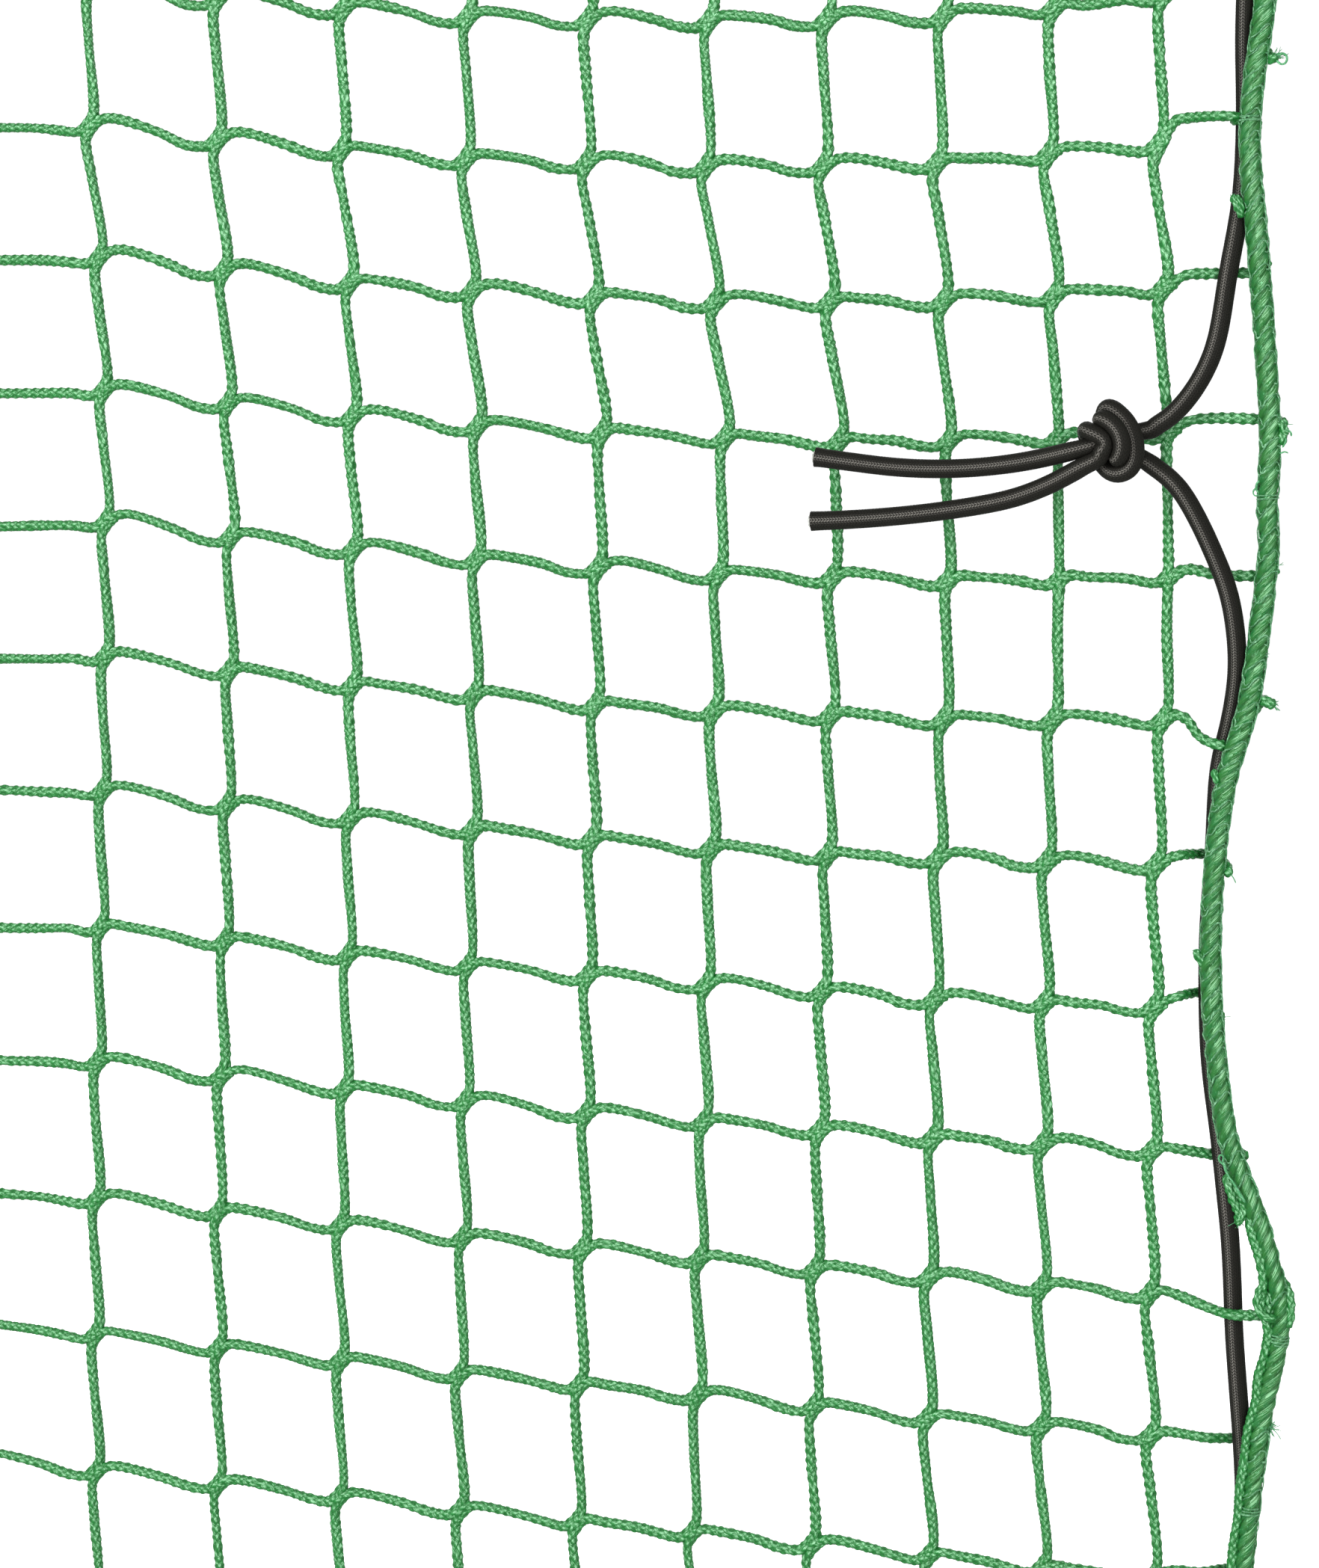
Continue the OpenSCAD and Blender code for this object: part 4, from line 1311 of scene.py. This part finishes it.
def right_end(row):
    x, _, z = CROSSING[COLS, row]
    end_rise, shift, length, slope, count = RIGHT_ENDS[row]
    end_z = z + end_rise + 0.6
    rope = rope_x(end_z)
    elastic = elastic_at(end_z)
    if shift is None:
        shift = FIRST_STUB_Z - end_z
    rise = end_z - z
    if rise > 6:
        lead = [(x + 2.6, 0.1, z + 3.6), (x + 5.5, 0.1, z + 7.6), (x + 9.5, 0, end_z)]
    elif rise < -5:
        lead = [(x + 4.0, 0.1, z + 1.8), (x + 7.5, 0.05, z + 0.6), (x + 11.3, 0, z - 4.2),
                (x + 14.6, 0, end_z + 0.9), (x + 18.0, 0, end_z)]
    else:
        lead = [(x + 4.2, 0.1, z + 2.0 + 0.15 * rise), (x + 7.6, 0.05, z + 2.2 + 0.42 * rise)]
        middle = x + 0.52 * (rope - x)
        if rope - x > 20 and not (elastic is not None and middle > elastic[0] - 9):
            lead.append((middle, 0, z + 1.6 + 0.7 * rise))
    last_x, _, last_z = lead[-1]
    near = (elastic is not None and elastic[0] - last_x > 3.5
            and abs(elastic[0] - rope) < 20)
    in_front = near and row % 4 == 2
    if near:
        ex, ey = elastic
        if in_front:
            lead += [(ex - 5.2, -2.4, end_z + 0.4), (ex - 0.5, ey - 4.5, end_z),
                     (min(ex + 4.0, rope - 4.6), ey - 3.0, end_z - 0.3)]
        else:
            lead += [(ex - 5.0, 2.2 + ey * 0.7, end_z * 0.6 + last_z * 0.4),
                     (ex, ey + 4.6, end_z)]
    # squeezed where the elastic cord lies right behind the rope
    squeezed = elastic is not None and abs(elastic[0] - rope) < 5.5
    if in_front:
        lead += [(rope - 4.3, 0.6, end_z - 0.4), (rope - 2.8, 3.6, end_z - 0.2)]
    else:
        if rope - 4.6 > lead[-1][0] + 2:
            lead.append((rope - 4.6, 2.6, end_z))
        lead.append((rope - 2.0, 4.3, end_z))
    lead.append((rope + 0.5, 4.5 if squeezed else 4.6, end_z + shift * 0.3))
    centre = np.array([rope_x(end_z + shift), 0, end_z + shift])
    points, tip, way = cut_stub(lead, centre, RIGHTWARD, UPWARD, shift, length, slope)
    if count:
        frayed_end(fray_at(tip[2]), tip, way, 650 + row, count, 2.6)
    return points


def cross_cord_points(row):
    points = left_end(row)
    for col in range(1, COLS + 1):
        x, _, z = CROSSING[col, row]
        hump = np.random.default_rng(5000 + 31 * col + row).uniform(-0.9, 1.1)
        if col > 1:
            points += [(x - 11, 0, z - 1.2 - 0.3 * hump), (x - 5.2, 0.1, z - 2.0)]
        points += [(x - 2.0, 0.15, z - 1.5), (x + 1.8, 0.15, z + 1.0)]
        if col < COLS:
            points += [(x + 4.8, 0.1, z + 1.9 + 0.5 * hump), (x + 9, 0, z + 1.8 + hump)]
            next_x, _, next_z = CROSSING[col + 1, row]
            part = 0.55
            points.append((x * (1 - part) + next_x * part, 0,
                           (z + 1.6 + hump * 0.6) * (1 - part) + (next_z - 1.2) * part + 0.25))
    return points + right_end(row)


def fillets(mesh, col, row):
    """Short cords that lead the left leg into the upper one and the right into the lower."""
    apart = lean(col, row)
    left_up = [(-4.6, -1.8), (-2.6, -0.6), (-1.0, 1.1), (0.4, 3.0), (1.3 * apart, 4.8)]
    right_down = [(4.6, 1.6), (2.8, 0.5), (1.2, -1.2), (-0.1, -3.1), (-0.9 * apart, -4.9)]
    if col == COLS and RIGHT_ENDS[row][0] > 6:
        right_down = [(3.2, 4.2), (2.0, 1.2), (0.8, -2.0), (-0.3, -4.6), (-0.9, -7.0)]
    x, _, z = CROSSING[col, row]
    for offsets, seed in ((left_up, 30000), (right_down, 31000)):
        cord(mesh, [(x + dx, 0.1, z + dz) for dx, dz in offsets], 1.15,
             seed + 40 * row + col, relief=0.5)


def cross_cord(row):
    mesh = TubeMesh()
    line, lengths = spline(cross_cord_points(row), CORD_STEP)
    swell = swell_at(line, [CROSSING[col, row] for col in range(1, COLS + 1)], 0.18, 3.5)
    mesh.add(*braided_tube(line, lengths, 1.47, 20000 + 50 * row, swell=swell))
    for col in range(1, COLS + 1):
        fillets(mesh, col, row)
    return mesh.build("cross_cord_%02d" % row, CORD, "mesh_cord")


cross_cords = {row: cross_cord(row) for row in range(1, ROWS + 1)}

# ---------------------------------------------------------------- selvedge cords


def beside(height, dx, y):
    """A point set off from the right-hand rope at a height."""
    z = height + LIFT
    return np.array([rope_x(z) + dx, y, z])


def selvedge(name, cords):
    """Short cords laid along the right-hand rope. cords: radius, seed, points."""
    mesh = TubeMesh()
    for radius, seed, points in cords:
        # the one odd tone picks out a single short end
        cord(mesh, points, radius, seed, tone=3.0 if seed == 43300 else None)
    return mesh.build(name, CORD, "mesh_cord")


# Lower part of the long selvedge cord: height, offset from the rope, y
SELVEDGE_RUN = [
    (174, -3.6, -1.8), (165, -3.4, -1.5), (156, -3.7, -1.8), (147, -3.4, -1.4), (138, -3.7, -1.8),
    (128, -3.5, -1.4), (116, -3.8, -1.8), (102, -3.5, -1.4), (88, -3.8, -1.7), (74, -3.4, -1.0),
    (66, -1.6, 1.2)]

selvedge_lower = selvedge("selvedge_cord_lower", [
    (1.35, 41000, [
        (234.2, 1.4, 251.0), (232.6, -0.8, 248.2), (233.3, -1.8, 245.0), (234.3, -1.9, 242.0),
        (235.6, -2.0, 238.8), (236.5, -2.0, 235.6), (237.3, -2.0, 232.4), (237.6, -2.0, 229.2),
        (237.5, -2.0, 226.0), (237.4, -2.0, 222.8), (237.6, -2.0, 220.0), (238.5, -2.0, 217.6),
        (239.5, -2.0, 215.0), (239.8, -1.9, 212.4), (239.4, -1.9, 209.4), (238.9, -1.8, 206.2),
        (238.2, -1.8, 202.8), (237.4, -1.8, 199.4), (237.0, -1.8, 195.6), (236.8, -1.8, 190.8),
        *(beside(*station) for station in SELVEDGE_RUN)]),
    (1.1, 41050, [
        (237.6, -2.2, 228.4), (236.6, -3.2, 226.2), (236.1, -3.4, 223.4), (236.6, -3.6, 220.8),
        (238.2, -3.9, 219.0), (240.4, -3.9, 218.2), (242.2, -3.2, 218.6)]),
    (1.35, 41070, [
        (238.6, 0.2, 226.0), (239.1, -0.8, 224.4), (239.3, -1.0, 222.2), (239.6, -1.2, 219.9),
        (239.9, -0.6, 217.3)]),
    (1.35, 41100, [
        (242.6, 2.2, 230.0), (244.4, 0.9, 227.6), (245.6, -0.2, 225.4), (246.1, -0.6, 223.0),
        (246.2, -0.8, 220.2), (246.0, -0.8, 217.4), (245.4, -1.0, 214.8)]),
])
selvedge_middle = selvedge("selvedge_cord_middle", [
    (1.2, 42000, [
        (226.2, 1.2, 263.5), (225.2, -1.0, 260.5), (226.3, -1.6, 257.6), (227.2, -1.7, 254.9),
        (228.4, -1.6, 252.4), (229.2, -1.5, 250.2), (228.9, -1.4, 247.6)]),
    (1.0, 42010, [
        (230.6, 0.6, 255.0), (229.6, -0.8, 252.6), (230.4, -1.6, 250.6), (229.6, -1.9, 248.4),
        (228.4, -1.8, 246.9)]),
    (1.25, 42050, [
        (226.0, 0.4, 260.1), (227.2, -0.6, 258.7), (228.6, -0.8, 256.6), (229.9, -0.9, 254.1),
        (230.8, -0.8, 251.9), (231.4, -0.2, 249.5)]),
    (1.1, 42100, [beside(260, 1.0, 3.6), beside(262, 3.0, 2.4), beside(264, 3.9, 0.2)]),
])
selvedge_upper = selvedge("selvedge_cord_upper", [
    (0.95, 43000, [
        (219.1, -1.0, 560.4), (218.0, -1.9, 562.4), (216.8, -1.9, 564.9), (215.7, -1.7, 567.1)]),
    (0.9, 43010, [
        (219.2, -1.0, 562.1), (218.5, -2.2, 564.1), (217.6, -2.1, 565.9), (217.0, -1.9, 567.1)]),
    (1.15, 43200, [
        (232.4, -0.4, 499.0), (233.4, -0.8, 497.3), (233.8, -1.0, 495.0), (233.5, -0.9, 492.7),
        (232.8, -0.6, 491.5)]),
    (0.7, 43210, [(233.3, -1.4, 495.6), (234.4, -1.6, 495.3), (235.5, -1.6, 494.7)]),
])
selvedge_side = selvedge("selvedge_cord_side", [
    (0.85, 43300, [beside(380, -2.4, -1.4), beside(381.5, -3.3, -1.9), beside(383, -4.0, -1.8),
                   beside(384.6, -4.5, -1.6)]),
    (1.15, 43100, [beside(322, -2.0, -0.8), beside(325, -3.6, -1.2), beside(327.5, -4.9, -1.0)]),
])

# ---------------------------------------------------------------- loose threads and whipping

# Middle panel, a thin loop and a loose thread: radius, step, tone, points
MIDDLE_THREADS = [
    (0.34, 0.4, 0.3, [
        (224.5, -2.2, 265.7), (223.6, -3.4, 266.5), (222.7, -3.6, 267.4), (222.5, -3.6, 268.5),
        (223.1, -3.6, 269.2), (223.8, -3.5, 268.9), (223.9, -3.4, 268.0), (223.6, -3.2, 266.9)]),
    (0.42, 0.5, 0.5, [
        (223.8, -3.2, 266.9), (224.4, -3.4, 265.6), (225.0, -3.4, 263.9), (226.0, -3.6, 262.3),
        (227.3, -3.9, 260.8), (228.7, -4.1, 258.7), (230.1, -4.1, 256.4), (231.2, -3.6, 254.7)]),
]
# Upper panel
UPPER_THREADS = [
    (0.34, 0.4, 0.1, [
        (233.9, -1.4, 496.1), (234.8, -1.6, 495.8), (235.6, -1.6, 495.7), (236.2, -1.5, 495.1),
        (236.3, -1.4, 494.1)]),
    (0.34, 0.4, 0.4, [
        (234.3, -1.4, 494.1), (234.7, -1.6, 492.9), (234.5, -1.6, 492.0), (234.1, -1.5, 491.2),
        (233.7, -1.4, 490.6)]),
    (0.34, 0.4, 0.1, [
        (232.5, -1.0, 489.0), (233.4, -1.3, 488.9), (234.3, -1.5, 489.3), (235.1, -1.5, 489.2),
        (235.6, -1.4, 488.9)]),
    (0.5, 0.4, 0.1, [
        (227.5, -1.0, 480.2), (226.6, -1.6, 479.7), (226.2, -1.7, 478.6), (226.4, -1.7, 477.4),
        (227.2, -1.2, 476.4)]),
    (0.34, 0.4, 0.7, [
        (226.7, -1.8, 477.9), (225.8, -1.9, 477.6), (225.4, -1.9, 476.8), (225.7, -1.9, 475.9),
        (226.5, -1.9, 475.6), (227.1, -1.6, 476.4)]),
    (0.42, 0.4, 0.9, [
        (227.1, -0.6, 608.4), (228.1, -1.0, 609.3), (229.2, -1.0, 609.7), (230.4, -1.0, 609.1),
        (230.7, -1.0, 608.0), (230.2, -1.0, 606.8), (229.1, -1.0, 606.5), (228.0, -0.8, 607.2),
        (227.4, -0.5, 608.0)]),
]
# Filaments on the right-hand rope: height (also the seed), offset, y, direction, count, length
ROPE_FRAYS = [(327, -3.4, -1.3, (-0.8, 0, -0.8), 7, 2.6), (449, 3.6, -0.8, (1, 0, 0.6), 5, 1.8),
              (420, 3.5, -0.8, (1, 0, -0.3), 3, 1.6)]
# Whipping: height on the right-hand rope, turns
WHIPPINGS = [(206.5, 3.2), (470, 1.6), (585, 1.4), (150, 2.4), (110, 1.5)]

frayed_end(fray["middle"], (245.5, -1.0, 214.6), (0.1, 0, -1), 41101, 4, 1.4)
frayed_end(fray["lower"], beside(176.5, 3.6, -0.6), (1, 0, 0.1), 41102, 14, 3.6, spread=0.75)
frayed_end(fray["middle"], (228.8, -1.4, 247.2), (-0.15, 0, -1), 42001, 10, 2.4)
for radius, step, tone, points in MIDDLE_THREADS:
    thread(fray["middle"], points, radius, step, tone)
for height, dx, y, direction, count, length in ROPE_FRAYS:
    frayed_end(fray_at(height + LIFT), beside(height, dx, y), direction, height, count, length,
               spread=0.35)
frayed_end(fray["upper"], (215.7, -1.7, 567.1), (-0.4, -0.1, 1), 43011, 7, 1.2, spread=0.4)
for radius, step, tone, points in UPPER_THREADS:
    thread(fray["upper"], points, radius, step, tone)

whipping = {"upper": TubeMesh(), "lower": TubeMesh()}
for height, turns in WHIPPINGS:
    z = height + LIFT
    start = rope_length_at(z)
    coil = [on_rope(start + turn, 360 * turn - 60, 0.22)
            for turn in np.linspace(0, turns, int(turns * 14))]
    thread(whipping["upper" if z > SEAM_Z else "lower"], coil, 0.3, 0.6, 0.4)
whipping_upper = whipping["upper"].build("whipping_upper", LACE, "lacing_thread")
whipping_lower = whipping["lower"].build("whipping_lower", LACE, "lacing_thread")

fray_upper = fray["upper"].build("frayed_ends_upper", FRAY, "lacing_thread")
fray_middle = fray["middle"].build("frayed_ends_middle", FRAY, "lacing_thread")
fray_lower = fray["lower"].build("frayed_ends_lower", FRAY, "lacing_thread")

# ---------------------------------------------------------------- motion

FOLD_REACH = 21.5     # distance above and below a fold's hinge, worked out in bend() but not used
TAIL_REACH = 5.5      # the same for a tail, sideways


def at_z(z):
    return (0, 0, z * 0.001)


def bend(obj, above, below, z):
    at_z(z + FOLD_REACH)
    at_z(z - FOLD_REACH)
    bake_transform(obj)


def by_panel(row, upper_fold, lower_fold, upper, middle, lower):
    """Picks a value by where a row lies."""
    if row in (FOLD_UPPER_ROW, FOLD_LOWER_ROW):
        return upper_fold if row == FOLD_UPPER_ROW else lower_fold
    return upper if row < FOLD_UPPER_ROW else middle if row < FOLD_LOWER_ROW else lower


for obj in down_cords["upper"] + [rope_upper, lace_upper, elastic_top, elastic_right,
                                  whipping_upper, cross_cords[FOLD_UPPER_ROW]]:
    bend(obj, "upper_panel", "middle_panel", FOLD_UPPER_Z)
for obj in down_cords["lower"] + [rope_lower, lace_lower, elastic_bottom, whipping_lower,
                                  cross_cords[FOLD_LOWER_ROW], selvedge_lower, fray_lower]:
    bend(obj, "middle_panel", "lower_panel", FOLD_LOWER_Z)
for row, obj in cross_cords.items():
    panel = by_panel(row, None, None, "upper_panel", "middle_panel", "lower_panel")
    if panel:
        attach(obj, panel)
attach(selvedge_upper, "upper_panel")
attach(fray_upper, "upper_panel")
bend(selvedge_side, "upper_panel", "middle_panel", FOLD_UPPER_Z)
bend(fray_middle, "upper_panel", "middle_panel", FOLD_UPPER_Z)
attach(selvedge_middle, "middle_panel")
at_z(row_z(2) - 10)
at_z(row_z(3) + 2)
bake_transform(tie_upper)
at_z(row_z(6) + 0)
at_z(row_z(5) - 8)
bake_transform(tie_lower)
tail_x = hinge["upper_tail_swing"][0] - 2.0
for obj, tail in ((tail_upper, "upper_tail"), (tail_lower, "lower_tail")):
    (tail_x + TAIL_REACH) * 0.001
    (tail_x - TAIL_REACH) * 0.001
    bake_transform(obj)
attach(core_upper, "upper_tail")
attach(core_lower, "lower_tail")

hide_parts("border_rope_upper", "border_rope_middle")
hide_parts("border_rope_lower")
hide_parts("lacing_thread_upper", "lacing_thread_middle")
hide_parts("lacing_thread_lower")
for obj in down_cords["upper"]:
    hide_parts("down_cords_upper", "down_cords_middle")
for obj in down_cords["lower"]:
    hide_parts("down_cords_lower")
for row, obj in cross_cords.items():
    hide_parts(by_panel(row, "fold_cord_upper", "fold_cord_lower", "cross_cords_upper",
                              "cross_cords_middle", "cross_cords_lower"))
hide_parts("elastic_sheath_upper", "elastic_core_upper")
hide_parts("elastic_sheath_middle", "elastic_core_middle")
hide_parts("elastic_sheath_lower", "elastic_core_lower")
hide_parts("tie_sheath_upper", "tie_core_upper", "knot_turns")
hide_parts("tie_sheath_lower", "tie_core_lower")
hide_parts("tail_sheath_upper")
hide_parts("tail_sheath_lower")
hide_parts("tail_core_upper")
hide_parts("tail_core_lower")

# ---------------------------------------------------------------- floor, light and camera (m)

CAMERA_GLOW = 0.62       # extra light that only the camera sees, on floor and background
WORLD_STRENGTH = 0.48
AIM = (0.05, 0, 0.36)
# name, place, width and height, watts
LIGHTS = [
    ("key_left", (-1.5, -1.7, 1.1), (0.5, 1.5), 40),
    ("key_right", (1.35, -1.5, 1.2), (0.35, 1.4), 18),
    ("front", (0.2, -2.4, 0.9), (1.2, 0.9), 10),
    ("back", (0.0, 1.9, 1.2), (1.6, 1.2), 14),
]


def camera_ray(graph):
    return Number(graph, graph.node("LightPath").outputs["Is Camera Ray"])


def floor_material():
    """Matt pale floor that glows towards the camera."""
    material, graph = new_material("pale_floor")
    glow = graph.node("Emission", {"Color": (1, 1, 1)})
    graph.feed(camera_ray(graph) * CAMERA_GLOW, glow.inputs["Strength"])
    graph.surface({"Base Color": (0.86, 0.86, 0.86), "Roughness": 0.9,
                   "Specular IOR Level": 0.0})
    nodes = material.node_tree.nodes
    both = graph.node("AddShader", {0: nodes["Principled BSDF"].outputs[0], 1: glow.outputs[0]})
    graph.feed(both.outputs[0], nodes["Material Output"].inputs["Surface"])
    return material


def add_floor(half=9.0, z=-0.0015):
    mesh = bpy.data.meshes.new("floor")
    corners = [(-half, -half, z), (half, -half, z), (half, half, z), (-half, half, z)]
    mesh.from_pydata(corners, [], [(0, 1, 2, 3)])
    floor = bpy.data.objects.new("floor", mesh)
    bpy.context.scene.collection.objects.link(floor)
    mesh.materials.append(floor_material())


def add_world():
    world = bpy.data.worlds.new("studio")
    bpy.context.scene.world = world
    world.use_nodes = True
    graph = Graph(world.node_tree)
    background = world.node_tree.nodes["Background"]
    strength = graph.math("MULTIPLY_ADD", camera_ray(graph), CAMERA_GLOW, WORLD_STRENGTH)
    graph.feed(strength, background.inputs["Strength"])
    graph.feed((1, 1, 1), background.inputs["Color"])


def add_light(name, place, size, power):
    light = bpy.data.lights.new(name, "AREA")
    light.shape = "RECTANGLE"
    light.size, light.size_y = size
    light.energy = power
    lamp = bpy.data.objects.new(name, light)
    lamp.location = place
    lamp.rotation_mode = "QUATERNION"
    lamp.rotation_quaternion = (Vector(place) - Vector(AIM)).to_track_quat("Z", "Y")
    bpy.context.scene.collection.objects.link(lamp)


def add_camera():
    """Camera in front, a little to the right and above, looking at the net's middle."""
    azimuth, elevation, roll = (math.radians(a) for a in (14.28, 6.54, 1.08))
    distance = 1.2
    target = Vector((0.0382, 0, (371.4 + LIFT) * MM))
    level = Vector((math.cos(azimuth), math.sin(azimuth), 0))
    forward = Vector((-math.sin(azimuth) * math.cos(elevation),
                      math.cos(azimuth) * math.cos(elevation), -math.sin(elevation)))
    upright = level.cross(forward)
    right = level * math.cos(roll) + upright * math.sin(roll)
    up = -level * math.sin(roll) + upright * math.cos(roll)
    data = bpy.data.cameras.new("camera")
    camera = bpy.data.objects.new("camera", data)
    bpy.context.scene.collection.objects.link(camera)
    camera.matrix_world = Matrix(((right.x, up.x, -forward.x, 0), (right.y, up.y, -forward.y, 0),
                                  (right.z, up.z, -forward.z, 0), (0, 0, 0, 1)))
    camera.location = target - forward * distance
    data.sensor_width = 36.0
    data.lens = 85.1330472
    data.clip_start, data.clip_end = 0.05, 50
    bpy.context.scene.camera = camera


add_floor()
add_world()
for light in LIGHTS:
    add_light(*light)
add_camera()
bpy.context.scene.view_settings.view_transform = "Standard"

bpy.context.view_layer.update()
